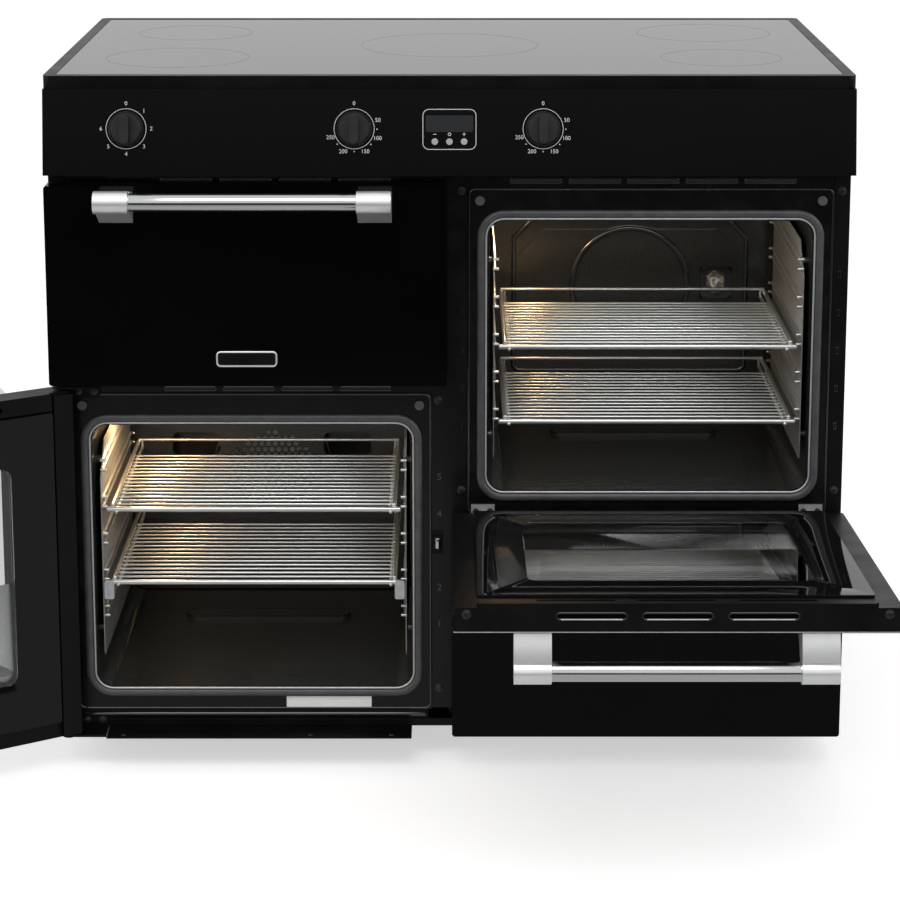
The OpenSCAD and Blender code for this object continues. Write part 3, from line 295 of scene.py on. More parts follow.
class Bench:
    """One mesh under work: a primitive that hand steps shape, in millimetres."""

    def __init__(self, name: str) -> None:
        """Takes the primitive that was just added, and puts its place into its mesh."""
        self.thing: bpy.types.Object = bpy.context.object
        self.thing.name = self.thing.data.name = name
        bpy.ops.object.transform_apply(location=True, rotation=True, scale=True)

    @classmethod
    def block(cls, name: str, low: Point, high: Point) -> "Bench":
        """Adds a box between two corners.

        Args:
            name: the piece's name.
            low: its lowest corner.
            high: its highest corner.

        Returns:
            The bench with the box on it.
        """
        hold()
        middle = (Vector(low) + Vector(high)) / 2 * MM
        bpy.ops.mesh.primitive_cube_add(size=1, location=middle, scale=(Vector(high) - Vector(low)) * MM)
        return cls(name)

    @classmethod
    def rod(cls, name: str, start: Point, end: Point, diameter: float, sides: int = 16) -> "Bench":
        """Adds a round bar between two points.

        Args:
            name: the piece's name.
            start: the middle of one end.
            end: the middle of the other end.
            diameter: its diameter.
            sides: its number of flats.

        Returns:
            The bench with the bar on it.
        """
        hold()
        a, b = Vector(start) * MM, Vector(end) * MM
        turn = (b - a).to_track_quat("Z", "Y").to_euler()
        bpy.ops.mesh.primitive_cylinder_add(
            vertices=sides, radius=diameter / 2 * MM, depth=(b - a).length, location=(a + b) / 2, rotation=turn
        )
        return cls(name)

    @classmethod
    def sheet(
        cls, name: str, width: float, height: float, radius: float, middle: Point, steps: int = 6
    ) -> "Bench":
        """Adds an upright flat sheet with round corners that faces the front.

        Args:
            name: the piece's name.
            width: its size along X.
            height: its size along Z.
            radius: its corners' radius.
            middle: its middle point.
            steps: the number of flats in a corner.

        Returns:
            The bench with the sheet on it, of one face.
        """
        hold()
        bpy.ops.mesh.primitive_plane_add(size=1, location=Vector(middle) * MM, rotation=UPRIGHT)
        bpy.context.object.scale = (width * MM, height * MM, 1)
        bench = cls(name)
        return bench.corners(lambda p: True, radius, steps) if radius else bench

    @classmethod
    def disc(cls, name: str, radius: float, middle: Point, sides: int = 64) -> "Bench":
        """Adds an upright round sheet that faces the front.

        Args:
            name: the piece's name.
            radius: its radius.
            middle: its middle point.
            sides: its number of flats.

        Returns:
            The bench with the sheet on it, of one face.
        """
        hold()
        bpy.ops.mesh.primitive_circle_add(
            vertices=sides, radius=radius * MM, fill_type="NGON", location=Vector(middle) * MM, rotation=UPRIGHT
        )
        return cls(name)

    @classmethod
    def numeral(cls, name: str, body: str, height: float, thick: float) -> "Bench":
        """Adds a plain number that faces the front, its middle at the origin.

        Args:
            name: the piece's name.
            body: the digits or dot.
            height: the digits' height.
            thick: how far it stands out to each side.

        Returns:
            The bench with the number as a closed mesh.
        """
        hold()
        bpy.ops.object.text_add(rotation=UPRIGHT)
        words = bpy.context.object.data
        words.body, words.size, words.extrude = body, height * EM_PER_DIGIT * MM, thick * MM
        words.align_x, words.align_y, words.resolution_u = "CENTER", "CENTER", 3
        bpy.ops.object.convert(target="MESH")
        return cls(name)

    def _open(self, kind: str) -> bmesh.types.BMesh:
        """Opens the mesh in edit mode with nothing selected, to select vertices, edges or faces."""
        if bpy.context.mode != "EDIT_MESH" or bpy.context.object != self.thing:
            hold(self.thing)
            bpy.ops.object.mode_set(mode="EDIT")
        bpy.ops.mesh.select_mode(type=kind)
        bpy.ops.mesh.select_all(action="DESELECT")
        return bmesh.from_edit_mesh(self.thing.data)

    def all(self, kind: str = "FACE") -> "Bench":
        """Selects the whole mesh for the next step."""
        self._open(kind)
        bpy.ops.mesh.select_all(action="SELECT")
        return self

    def faces(self, pick: Pick) -> "Bench":
        """Selects faces by their middle, in millimetres, and their normal."""
        mesh = self._open("FACE")
        for face in mesh.faces:
            face.select = pick(face.calc_center_median() / MM, face.normal)
        mesh.select_flush_mode()
        bmesh.update_edit_mesh(self.thing.data)
        return self

    def edges(self, pick: Pick) -> "Bench":
        """Selects edges by their middle, in millimetres, and their direction."""
        mesh = self._open("EDGE")
        for edge in mesh.edges:
            a, b = (vertex.co for vertex in edge.verts)
            edge.select = pick((a + b) / 2 / MM, (b - a).normalized())
        mesh.select_flush_mode()
        bmesh.update_edit_mesh(self.thing.data)
        return self

    def corners(self, pick: Callable[[Vector], bool], radius: float, steps: int = 1) -> "Bench":
        """Rounds a sheet's corners, or cuts them off.

        Args:
            pick: tells by a corner's place in millimetres whether it is done.
            radius: the corner's radius, or how far it is cut back.
            steps: the number of flats, 1 for a straight cut.

        Returns:
            This bench.
        """
        mesh = self._open("VERT")
        for corner in mesh.verts:
            corner.select = pick(corner.co / MM)
        mesh.select_flush_mode()
        bmesh.update_edit_mesh(self.thing.data)
        bpy.ops.mesh.bevel(offset=radius * MM, segments=steps, affect="VERTICES")
        return self

    def extrude(self, x: float, y: float, z: float) -> "Bench":
        """Extrudes the selected faces."""
        bpy.ops.mesh.extrude_region_move(TRANSFORM_OT_translate={"value": (x * MM, y * MM, z * MM)})
        return self

    def move(self, x: float, y: float, z: float) -> "Bench":
        """Moves what is selected."""
        bpy.ops.transform.translate(value=(x * MM, y * MM, z * MM))
        return self

    def stretch(self, factors: Point, centre: Point) -> "Bench":
        """Scales what is selected about a point."""
        bpy.ops.transform.resize(value=factors, center_override=Vector(centre) * MM)
        return self

    def inset(self, width: float, depth: float = 0.0) -> "Bench":
        """Insets the selected faces, and moves them along their normal by depth."""
        bpy.ops.mesh.inset(thickness=width * MM, depth=depth * MM)
        return self

    def remove(self) -> "Bench":
        """Deletes the selected faces."""
        bpy.ops.mesh.delete(type="FACE")
        return self

    def hoop(self, wall: float, high: float, *rises: tuple[float, float]) -> "Bench":
        """Makes the flat sheet a closed hoop that stands out to the front.

        Args:
            wall: the hoop's width, inwards from the sheet's edge.
            high: the height of its straight sides.
            rises: further steps in and out of its crown, as width and height.

        Returns:
            This bench, with the hoop's crown selected.
        """
        self.all().inset(wall).remove()
        self.all().extrude(0, -high, 0)
        for width, depth in rises:
            self.inset(width, depth)
        return self

    def bend(self, angle: float, centre: Point, axis: Point, steps: int = 5) -> "Bench":
        """Spins the selected end round an axis, as a bent tube."""
        bpy.ops.mesh.spin(steps=steps, angle=math.radians(angle), center=Vector(centre) * MM, axis=axis)
        return self

    def bevel(self, width: float, steps: int = 2) -> "Bench":
        """Rounds the selected edges."""
        bpy.ops.mesh.bevel(offset=width * MM, segments=steps, affect="EDGES")
        return self

    def paint(self, slot: int) -> "Bench":
        """Gives the selected faces one of the piece's finishes."""
        self.thing.active_material_index = slot
        bpy.ops.object.material_slot_assign()
        return self

    def finishes(self, *finishes: Finish) -> "Bench":
        """Gives the piece its finishes, the first all over."""
        for finish in finishes:
            self.thing.data.materials.append(finish.material())
        return self

    def soften(self, width: float, steps: int = 2, angle: float = 30.0) -> "Bench":
        """Rounds every edge sharper than an angle with a bevel modifier, applied."""
        hold(self.thing)
        bevel = self.thing.modifiers.new("soft_edges", "BEVEL")
        bevel.width, bevel.segments, bevel.angle_limit = width * MM, steps, math.radians(angle)
        bevel.use_clamp_overlap = True
        bpy.ops.object.modifier_apply(modifier=bevel.name)
        return self

    def cut(self, other: "Bench", operation: str = "DIFFERENCE") -> "Bench":
        """Cuts or joins another solid with this one, and removes it.

        Args:
            other: the solid that cuts or is joined.
            operation: "DIFFERENCE" or "UNION".

        Returns:
            This bench.
        """
        hold(self.thing)
        boolean = self.thing.modifiers.new("cut", "BOOLEAN")
        boolean.operation, boolean.object, boolean.solver = operation, other.thing, "EXACT"
        bpy.ops.object.modifier_apply(modifier=boolean.name)
        other.discard()
        return self

    def join(self, others: Iterable["Bench"]) -> "Bench":
        """Joins other meshes to this one, as parts of the same piece."""
        hold(self.thing, *(other.thing for other in others))
        bpy.ops.object.join()
        return self

    def mirror(self) -> "Bench":
        """Adds the piece's mirror image across X = 0."""
        hold(self.thing)
        mirror = self.thing.modifiers.new("other_side", "MIRROR")
        mirror.use_mirror_merge = False
        bpy.ops.object.modifier_apply(modifier=mirror.name)
        return self

    def array(self, count: int, step: Point) -> "Bench":
        """Repeats the piece at even steps in millimetres."""
        hold(self.thing)
        row = self.thing.modifiers.new("row", "ARRAY")
        row.count, row.use_relative_offset, row.use_constant_offset = count, False, True
        row.constant_offset_displace = Vector(step) * MM
        bpy.ops.object.modifier_apply(modifier=row.name)
        return self

    def copy(self, name: str) -> "Bench":
        """Copies the piece, with a mesh of its own."""
        hold(self.thing)
        bpy.ops.object.duplicate()
        return Bench(name)

    def place(self, at: Matrix) -> "Bench":
        """Moves the piece and keeps its place in its mesh."""
        hold(self.thing)
        self.thing.matrix_world = at
        bpy.ops.object.transform_apply(location=True, rotation=True, scale=True)
        return self

    def closed(self, smooth: float = 35.0) -> "Bench":
        """Merges doubles, turns the faces outwards and shades what is round smooth."""
        self.all()
        bpy.ops.mesh.remove_doubles(threshold=WELD_MM * MM)
        bpy.ops.mesh.normals_make_consistent(inside=False)
        hold(self.thing)
        bpy.ops.object.shade_smooth_by_angle(angle=math.radians(smooth))
        return self

    def discard(self) -> None:
        """Removes the piece, once its copies are made or its cut is done."""
        bpy.data.objects.remove(self.thing)

    def fit(self, body: str, slot: str, *stands_for: str) -> bpy.types.Object:
        """Hangs the finished piece on the frame.

        Args:
            body: the CAD body that it moves with.
            slot: the record's material slot; not used.
            stands_for: CAD nodes that it replaces.

        Returns:
            The piece's object.
        """
        hold(self.thing)
        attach(self.thing, body)
        if stands_for:
            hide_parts(*stands_for)
        log.info("%s rides on %s, %d faces", self.thing.name, body, len(self.thing.data.polygons))
        return self.thing


def shifted(x: float, y: float, z: float) -> Matrix:
    """A move in millimetres, as a matrix."""
    return Matrix.Translation(Vector((x, y, z)) * MM)


def turned(degrees: float, axis: str) -> Matrix:
    """A turn about the origin, as a matrix."""
    return Matrix.Rotation(math.radians(degrees), 4, axis)


def about(point: Point, turn: Matrix) -> Matrix:
    """A turn about a point in millimetres."""
    return shifted(*point) @ turn @ shifted(*(-c for c in point))


# ---- the range's own places ----------------------------------------------------------------


@dataclass(frozen=True)
class Body:
    """Places of the body that the pieces share, as the frame has them."""

    front: float = -300.0
    back: float = 300.0
    face: float = -258.0
    column: float = 251.6
    low: float = 47.0
    right: float = 311.0
    upper: float = 512.0
    fascia: float = 779.0
    oven_h: float = 455.0
    small_h: float = 254.0
    left_floor: float = 100.0
    right_floor: float = 364.0
    cavity_h: float = 350.0
    rail: float = -256.5
    dial_up: float = 57.7
    hinge_x: float = -490.0
    left_open: float = -149.0
    right_open: float = 85.5
    root: str = "range_body"
    tilt: float = math.degrees(math.atan(16.6 / 105))

    def to_right_oven(self) -> Matrix:
        """From a place in the left oven to the same place in the right one."""
        return shifted(2 * self.column, 0, self.right_floor - self.left_floor)

    def left_door(self) -> Matrix:
        """From the left oven door's own millimetres to its open place."""
        swing = about((self.hinge_x, self.front + 18, 0), turned(self.left_open, "Z"))
        return swing @ shifted(-self.column, self.front, self.low)

    def right_door(self) -> Matrix:
        """From the right oven door's own millimetres to its open place."""
        drop = about((0, self.front + 12, self.right + 12), turned(self.right_open, "X"))
        return drop @ shifted(self.column, self.front, self.right)

    def oven_doors(self) -> dict[str, Matrix]:
        """The open places of both oven doors, by side."""
        return {"left": self.left_door(), "right": self.right_door()}

    def grill_door(self) -> Matrix:
        """From the grill door's own millimetres to its closed place."""
        return shifted(-self.column, self.front, self.upper)

    def drawer(self) -> Matrix:
        """From the drawer front's own millimetres to its closed place."""
        return shifted(self.column, self.front, self.low)

    def panel(self, x: float, up: float) -> Matrix:
        """A place on the tilted control panel: x across, up the slope, -Y out of it."""
        return shifted(x, self.front, self.fascia) @ turned(-self.tilt, "X") @ shifted(0, 0, up)


BODY = Body()


def fit_both(left: Bench, piece: str, slot: str, node: str = "") -> None:
    """Hangs the left oven's finished piece, and a copy of it in the right oven.

    Args:
        left: the piece at its place in the left oven.
        piece: the pieces' name after their side.
        slot: the record's material slot.
        node: the name, after the side, of the CAD node that each replaces.
    """
    right = left.copy(f"right_{piece}").place(BODY.to_right_oven())
    for side, bench in (("left", left), ("right", right)):
        bench.fit(BODY.root, slot, *([f"{side}_{node}"] if node else [])).name = f"{side}_{piece}"


@dataclass
class Dressing:
    """Finishes of the CAD nodes that stay, with softened edges where light would catch them."""

    edge_mm: float = 0.8
    weld_mm: float = 0.02
    sharp: float = 50.0

    def dress(self, finish: Finish, *nodes: str, soft: float = 0.0) -> None:
        """Gives CAD nodes a finish.

        Args:
            finish: the finish.
            nodes: the nodes' names.
            soft: the width of a live edge bevel, or 0 for none.
        """
        for name in nodes:
            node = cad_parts[name]
            node.data.materials.clear()
            node.data.materials.append(finish.material())
            if soft:
                weld = node.modifiers.new("weld", "WELD")
                weld.merge_threshold = self.weld_mm * MM
                bevel = node.modifiers.new("soft_edges", "BEVEL")
                bevel.width, bevel.segments, bevel.angle_limit = soft * MM, 2, math.radians(self.sharp)
                bevel.harden_normals = True
            log.info("%s keeps its CAD shape in %s", name, finish.name)

    def build(self) -> None:
        """Dresses every node that no piece replaces."""
        edge = self.edge_mm
        self.dress(CASING_COAT, "left_side_panel", "right_side_panel", "base_tray", "lower_trim", soft=edge)
        self.dress(CHASSIS_ENAMEL, "front_frame", "left_oven_front", "right_oven_front", soft=0.5)
        self.dress(GALVANISED, "back_panel", "centre_partition", "drawer_runners", "fan_motor", "fan_impeller")
        self.dress(OVEN_ENAMEL, "left_oven_cavity", "right_oven_cavity", "fan_cover", soft=edge)
        self.dress(OVEN_ENAMEL, "grill_cavity")
        self.dress(ELEMENT_STEEL, "heating_elements")
        self.dress(BLACK_ENAMEL, "control_panel")
        fronts = ("left_door_panel", "right_door_panel", "grill_door_panel", "drawer_front")
        self.dress(BLACK_ENAMEL, *fronts, soft=2 * edge)
        self.dress(CASING_COAT, "left_door_inner", "right_door_inner", "grill_door_inner", soft=edge)
        self.dress(CASING_COAT, "drawer_box", "hob_frame", soft=edge)
        self.dress(CLEAR_GLASS, "left_door_window", "right_door_window")
        self.dress(HOB_CERAMIC, "hob_glass")
        self.dress(HEATER_FIBRE, "hob_heaters")
        self.dress(SMOKED_ACRYLIC, "timer_display")
        self.dress(NYLON, "dial_switches", "levelling_feet", "terminal_box")
        self.dress(RUBBER, "door_buffers", soft=edge)
        self.dress(ZINC_PLATE, "drop_hinges", soft=0.5)
        self.dress(CASING_COAT, "door_catch", "side_hinges", soft=0.5)
        self.dress(DIAL_PLASTIC, "left_dial", "middle_dial", "right_dial", soft=0.7)
        self.dress(BAR_STEEL, "minus_button", "mode_button", "plus_button", soft=0.5)


@dataclass
class Handles:
    """The four bar handles: a polished tube between two satin brackets."""

    length: float = 361.0
    bar_d: float = 22.0
    off: float = 47.0
    drop: float = 11.5
    bracket_w: float = 42.0
    nose_d: float = 28.0
    foot_high: float = 4.5
    foot_low: float = -34.5
    foot_deep: float = 40.0
    under_taper: float = 23.0
    top_taper: Point = (0.0, 6.0, 6.5)
    let_in: float = 20.0

    def bracket(self) -> Bench:
        """Models one bracket: a tapered foot run into a round nose.

        Returns:
            The bracket on the +X side, with the bar's axis at Z = 0.
        """
        x1 = self.length / 2
        x0 = x1 - self.bracket_w
        foot = Bench.block("bracket", (x0, -self.foot_deep, self.foot_low), (x1, 0, self.foot_high))
        near = 2 - self.foot_deep
        foot.edges(lambda p, d: p.y < near and p.z < 0 and abs(d.x) > 0.9).move(0, 0, self.under_taper)
        foot.edges(lambda p, d: p.y < near and p.z > 0 and abs(d.x) > 0.9).move(*self.top_taper)
        nose = Bench.rod("nose", (x0, -self.off, 0), (x1, -self.off, 0), self.nose_d, 48)
        foot.cut(nose, "UNION")
        foot.soften(2.4, 3, 50)
        return foot

    def bar(self) -> Bench:
        """Models the tube, let into both brackets."""
        half = self.length / 2 - self.bracket_w + self.let_in
        bar = Bench.rod("bar", (-half, -self.off, 0), (half, -self.off, 0), self.bar_d, 48)
        return bar.soften(0.8)

    def build(self) -> None:
        """Models one handle and hangs four copies on the fronts."""
        bracket = self.bracket().mirror().finishes(BRACKET_CHROME)
        handle = self.bar().finishes(BAR_STEEL).join([bracket]).closed(30)
        places = {
            "left_door_handle": (BODY.left_door(), BODY.oven_h, "left_oven_door"),
            "right_door_handle": (BODY.right_door(), BODY.oven_h, "right_oven_door"),
            "grill_door_handle": (BODY.grill_door(), BODY.small_h, "grill_door"),
            "drawer_handle": (BODY.drawer(), BODY.small_h, "drawer"),
        }
        for node, (at, height, body) in places.items():
            copy = handle.copy(node + "_bar")
            copy.place(at @ shifted(0, 0, height - self.drop)).fit(body, "handle_steel", node)
        handle.discard()


@dataclass
class DoorGlass:
    """The inner panes of the oven doors: clear window, printed border with a ground edge."""

    width: float = 441.8
    height: float = 409.0
    window_w: float = 326.0
    window_h: float = 284.0
    corner: float = 3.0
    window_corner: float = 14.0
    near: float = 33.0
    thick: float = 4.0

    def pane(self) -> Bench:
        """Models a pane with its window as faces of their own.

        Returns:
            The pane in the door's own millimetres.
        """
        middle = (0, self.near, BODY.oven_h / 2)
        pane = Bench.sheet("pane", self.width, self.height, self.corner, middle, 4)
        pane.finishes(PRINTED_GLASS, CLEAR_GLASS)
        pane.all().extrude(0, self.thick, 0)
        window = Bench.sheet("window", self.window_w, self.window_h, self.window_corner, middle)
        window.all().extrude(0, self.thick, 0)
        window.finishes(CLEAR_GLASS)
        window.closed()
        hole = window.copy("hole")
        hole.all().stretch((1, 1.5, 1), middle)
        pane.closed().cut(hole)
        pane.soften(0.6, 2, 60)
        return pane.join([window]).closed()

    def build(self) -> None:
        """Hangs a pane in each oven door."""
        pane = self.pane()
        for side, at in BODY.oven_doors().items():
            copy = pane.copy(f"{side}_door_pane").place(at)
            copy.fit(f"{side}_oven_door", "black_glass", f"{side}_door_glass")
        pane.discard()


@dataclass
class Seals:
    """The ovens' door seals: a round bead, and inside it a thin bright zinc hoop at the mouth's edge, a painted
    highlight.
    """

    width: float = 433.6
    height: float = 377.6
    radius: float = 33.8
    bead_w: float = 9.3
    gap: float = 0.5
    lip_w: float = 2.6

    def seal(self) -> Bench:
        """Models the left oven's seal.

        Returns:
            Bead and lip as one piece.
        """
        middle = (-BODY.column, BODY.face, BODY.left_floor + BODY.cavity_h / 2)
        bead = Bench.sheet("bead", self.width, self.height, self.radius, middle, 12)
        bead.hoop(self.bead_w, 1.9, (0.7, 1.1), (1.0, 0.8), (1.2, 0.5), (1.3, 0.2))
        step = self.bead_w + self.gap
        # The lip's bright zinc finish is a painted highlight: the real mouth edge is enamel that catches light.
        lip = Bench.sheet("lip", self.width - 2 * step, self.height - 2 * step, self.radius - step, middle, 10)
        lip.hoop(self.lip_w, 0.9, (0.5, 0.6), (0.5, 0.2)).finishes(ZINC_PLATE)
        return bead.finishes(SEAL_BRAID).join([lip]).closed(50)

    def build(self) -> None:
        """Fits a seal round each oven's mouth."""
        fit_both(self.seal(), "seal", "seal_rubber", "oven_seal")


@dataclass
class Racks:
    """The four wire shelves: side rods, front bar, thin wires across and a rear stop."""

    half: float = 181.0
    depth: float = 293.3
    front: float = -240.0
    rod_d: float = 6.0
    bar_d: float = 6.8
    wire_d: float = 3.2
    wire_n: int = 15
    pitch: float = 15.6
    under_d: float = 5.0
    under_z: float = -7.4
    stop_d: float = 4.6
    stop_z: float = 3.0

    def rack(self) -> Bench:
        """Models one shelf, its front bar at Y = 0 and its side rods at Z = 0.

        Returns:
            The shelf of rods with rounded ends.
        """
        half, depth, low, high = self.half, self.depth, self.under_z, self.stop_z
        inner = half - 5
        side = Bench.rod("side", (half, 0, 0), (half, depth, 0), self.rod_d, 14).soften(1.8, 3, 60)
        under = Bench.rod("under", (inner, -5, low), (inner, depth, low), self.under_d, 14).soften(1.9, 3, 60)
        post = Bench.rod("post", (inner, depth, low), (inner, depth, high), self.wire_d, 12)
        side.join([under, post]).mirror()
        bar = Bench.rod("bar", (-half - 9, 0, -5), (half + 9, 0, -5), self.bar_d, 18).soften(2.6, 4, 60)
        rear = Bench.rod("rear", (-half - 1, depth, high), (half + 1, depth, high), self.stop_d, 14)
        rear.soften(1.6, 3, 60)
        wire = Bench.rod("wire", (0.5 - half, 18, -3.9), (half - 0.5, 18, -3.9), self.wire_d, 10)
        wire.soften(1.1, 2, 60).array(self.wire_n, (0, self.pitch, 0))
        return bar.join([side, rear, wire]).finishes(CHROME_WIRE)

    def clips(self) -> Bench:
        """Models the pull-out stops: a pressed plate hooked over each end of the front bar.

        Returns:
            Both plates.
        """
        plate = Bench.sheet("clip", 13, 25, 3, (self.half + 6.5, -4.5, -14.5), 5)
        plate.all().extrude(0, 1.4, 0)
        hook = Bench.block("hook", (self.half + 1, -4.4, -4), (self.half + 12, 2, -2.2))
        plate.join([hook.soften(0.7)]).closed().soften(0.4, 2, 60)
        return plate.mirror().finishes(ZINC_PLATE)

    def build(self) -> None:
        """Lays two shelves in each oven."""
        rack = self.rack()
        spots = {"left_upper_rack": (-BODY.column, 337.6), "left_lower_rack": (-BODY.column, 239.6),
                 "right_upper_rack": (BODY.column, 552.6), "right_lower_rack": (BODY.column, 454.6)}
        for node, (x, z) in spots.items():
            at = shifted(x, self.front, z)
            copy = rack.copy(node + "_wires")
            if node == "left_lower_rack":
                copy.join([self.clips()])
            copy.place(at).closed(40).fit(node + "_body", "bright_wire", node)
        rack.discard()


@dataclass
class Ladders:
    """Side supports of the shelves: a liner sheet with pairs of bent wires."""

    sheet_x: float = 196.0
    wire_x: float = 184.0
    wire_d: float = 3.8
    bend_r: float = 5.0
    near: float = 28.0
    far: float = 328.0
    low: float = 35.0
    high: float = 314.8
    first: float = 92.5
    pitch: float = 49.0
    pair: float = 12.6

    def wire(self) -> Bench:
        """Models one wire: out of the sheet, along the oven and back into it.

        Returns:
            The lowest wire, in millimetres of the oven's front and floor.
        """
        x, r, z = self.wire_x, self.bend_r, self.first - self.pair / 2
        root = self.sheet_x + 0.5
        wire = Bench.disc("wire", self.wire_d / 2, (0, 0, 0), 12)
        wire.place(shifted(root, self.near, z) @ turned(-90, "Z"))
        wire.all().extrude(x + r - root, 0, 0)
        wire.bend(-90, (x + r, self.near + r, z), (0, 0, 1))
        wire.extrude(0, self.far - self.near - 2 * r, 0)
        wire.bend(-90, (x + r, self.far - r, z), (0, 0, 1))
        wire.extrude(root - x - r, 0, 0)
        return wire.closed(50)

    def liner(self) -> Bench:
        """Models the liner sheet with its upper front corner cut off and its four studs.

        Returns:
            Sheet and studs on the +X side.
        """
        length, height = self.far - self.near + 12, self.high - self.low
        sheet = Bench.sheet("liner", length, height, 5, (0, 0, 0), 5)
        sheet.all().extrude(0, 1, 0)
        middle = ((self.near + self.far) / 2 - 4, (self.low + self.high) / 2)
        sheet.place(shifted(self.sheet_x, middle[0], middle[1]) @ turned(-90, "Z") @ turned(180, "Z"))
        corner = Bench.block("corner", (-30, -30, -30), (30, 30, 30))
        corner.place(shifted(self.sheet_x, self.near - 10, self.high) @ turned(45, "X"))
        sheet.closed().cut(corner)
        studs = [Bench.rod("stud", (self.sheet_x + 0.9, y, z), (self.sheet_x + 7, y, z), 9, 20)
                 for y in (self.near + 40, self.far - 40) for z in (self.low + 20, self.high - 30)]
        return sheet.join(studs)

    def build(self) -> None:
        """Models one side, mirrors it, and hangs it in both ovens."""
        wire = self.wire()
        upper = wire.copy("upper").place(shifted(0, 0, self.pair))
        wire.join([upper]).array(5, (0, 0, self.pitch)).finishes(CHROME_WIRE)
        both = self.liner().finishes(LINER_SHEET).join([wire]).mirror().closed(40)
        both.place(shifted(-BODY.column, BODY.face, BODY.left_floor))
        fit_both(both, "ladders", "bright_wire", "shelf_ladders")


@dataclass
class LampGlasses:
    """Glasses of the oven lamps: cut crystal in the back wall, a dome under the ceiling."""

    side: float = 44.0
    off_column: float = 121.0
    up: float = 187.0
    wall_y: float = 113.5
    crystal: Point = (15.0, 9.0, 18.0)
    dome_at: Point = (-404.6, -136.5, 442.0)
    dome_d: float = 50.0
    dome_h: float = 8.0

    def build(self) -> None:
        """Fits both glasses."""
        x, y, z = BODY.column + self.off_column, self.wall_y, BODY.right_floor + self.up
        bezel = Bench.sheet("bezel", self.side, self.side, 9, (x, y, z), 5).finishes(EDGE_ENAMEL, LAMP_GLASS)
        bezel.all().extrude(0, 25, 0)
        bezel.faces(lambda p, n: n.y < -0.9).inset(2.2, 1.2).inset(3.2).inset(0.8, -1.0)
        hold()
        bpy.ops.mesh.primitive_ico_sphere_add(
            subdivisions=2, radius=1, location=Vector((x, y - 1, z)) * MM, scale=Vector(self.crystal) * MM
        )
        crystal = Bench("crystal").finishes(LAMP_GLASS)
        bezel.closed(20).join([crystal])
        left, deep, low = self.dome_at
        dome = Bench.rod("dome", self.dome_at, (left, deep, low + self.dome_h), self.dome_d, 40)
        dome.edges(lambda p, d: p.z < low + 1 and abs(d.z) < 0.1).bevel(3.5, 5)
        dome.closed(40).finishes(LAMP_GLASS)
        bezel.join([dome]).fit(BODY.root, "lamp_glass", "oven_lamps").name = "oven_lamp_glasses"


@dataclass
class OvenCrowns:
    """Dark glossy crowns on the ovens' pressed ridges: their dark colour is painted shade that draws the ridges as
    dark lines.
    """

    field_w: float = 330.0
    field_h: float = 240.0
    field_up: float = 58.0
    cut: float = 45.0
    ring_r: float = 84.2
    ring_up: float = 184.0
    rib_w: float = 227.0
    rib_l: float = 36.0
    rib_y: float = 7.5
    rib_up: float = 4.0
    wall_y: float = 115.4

    def build(self) -> None:
        """Lays the dark crowns, painted shade, on the right back wall's ridges and round both floors' ribs."""
        y, floor, crown = self.wall_y, BODY.right_floor, ((1.2, 0.9), (1.0, 0.3))
        half_up = floor + self.field_up + self.field_h / 2
        field = Bench.sheet("field", self.field_w, self.field_h, 0, (BODY.column, y, half_up))
        field.corners(lambda p: p.z > half_up, self.cut).corners(lambda p: p.z < half_up - 90, 12, 5)
        field.hoop(6, 3.3, *crown)
        ring = Bench.disc("ring", self.ring_r, (BODY.column, y, floor + self.ring_up), 96).hoop(7.2, 3.3, *crown)
        ribs = []
        for x, z in ((-BODY.column, BODY.left_floor), (BODY.column, floor)):
            rib = Bench.sheet("rib", self.rib_w, self.rib_l, 14, (0, 0, 0)).hoop(4, 0.4, (1.0, 0.6), (0.6, 0.2))
            ribs.append(rib.place(shifted(x, self.rib_y, z + self.rib_up) @ turned(-90, "X")))
        # The crowns' dark enamel is painted shade: darker than the oven enamel round them, so the ridges read as
        # dark lines.
        field.join([ring, *ribs]).closed(50).finishes(EDGE_ENAMEL)
        field.fit(BODY.root, "oven_enamel").name = "oven_ridge_painted_shade"


@dataclass
class CatchRoller:
    """The left door's catch: a small bright roller in a dark housing."""

    diameter: float = 8.0
    length: float = 13.0
    x: float = -15.0
    stands_out: float = 3.6
    up: float = 294.5

    def build(self) -> None:
        """Models the roller with its two collars, across the front of its housing."""
        y, half = BODY.face - self.stands_out, self.length / 2
        ends = (self.x, y, self.up - half), (self.x, y, self.up + half)
        roller = Bench.rod("catch_roller", *ends, self.diameter, 24)
        roller.faces(lambda p, n: abs(n.z) > 0.9).inset(1.6, 0.8)
        roller.soften(0.4, 2, 40).closed(40).finishes(BAR_STEEL).fit(BODY.root, "satin_steel")


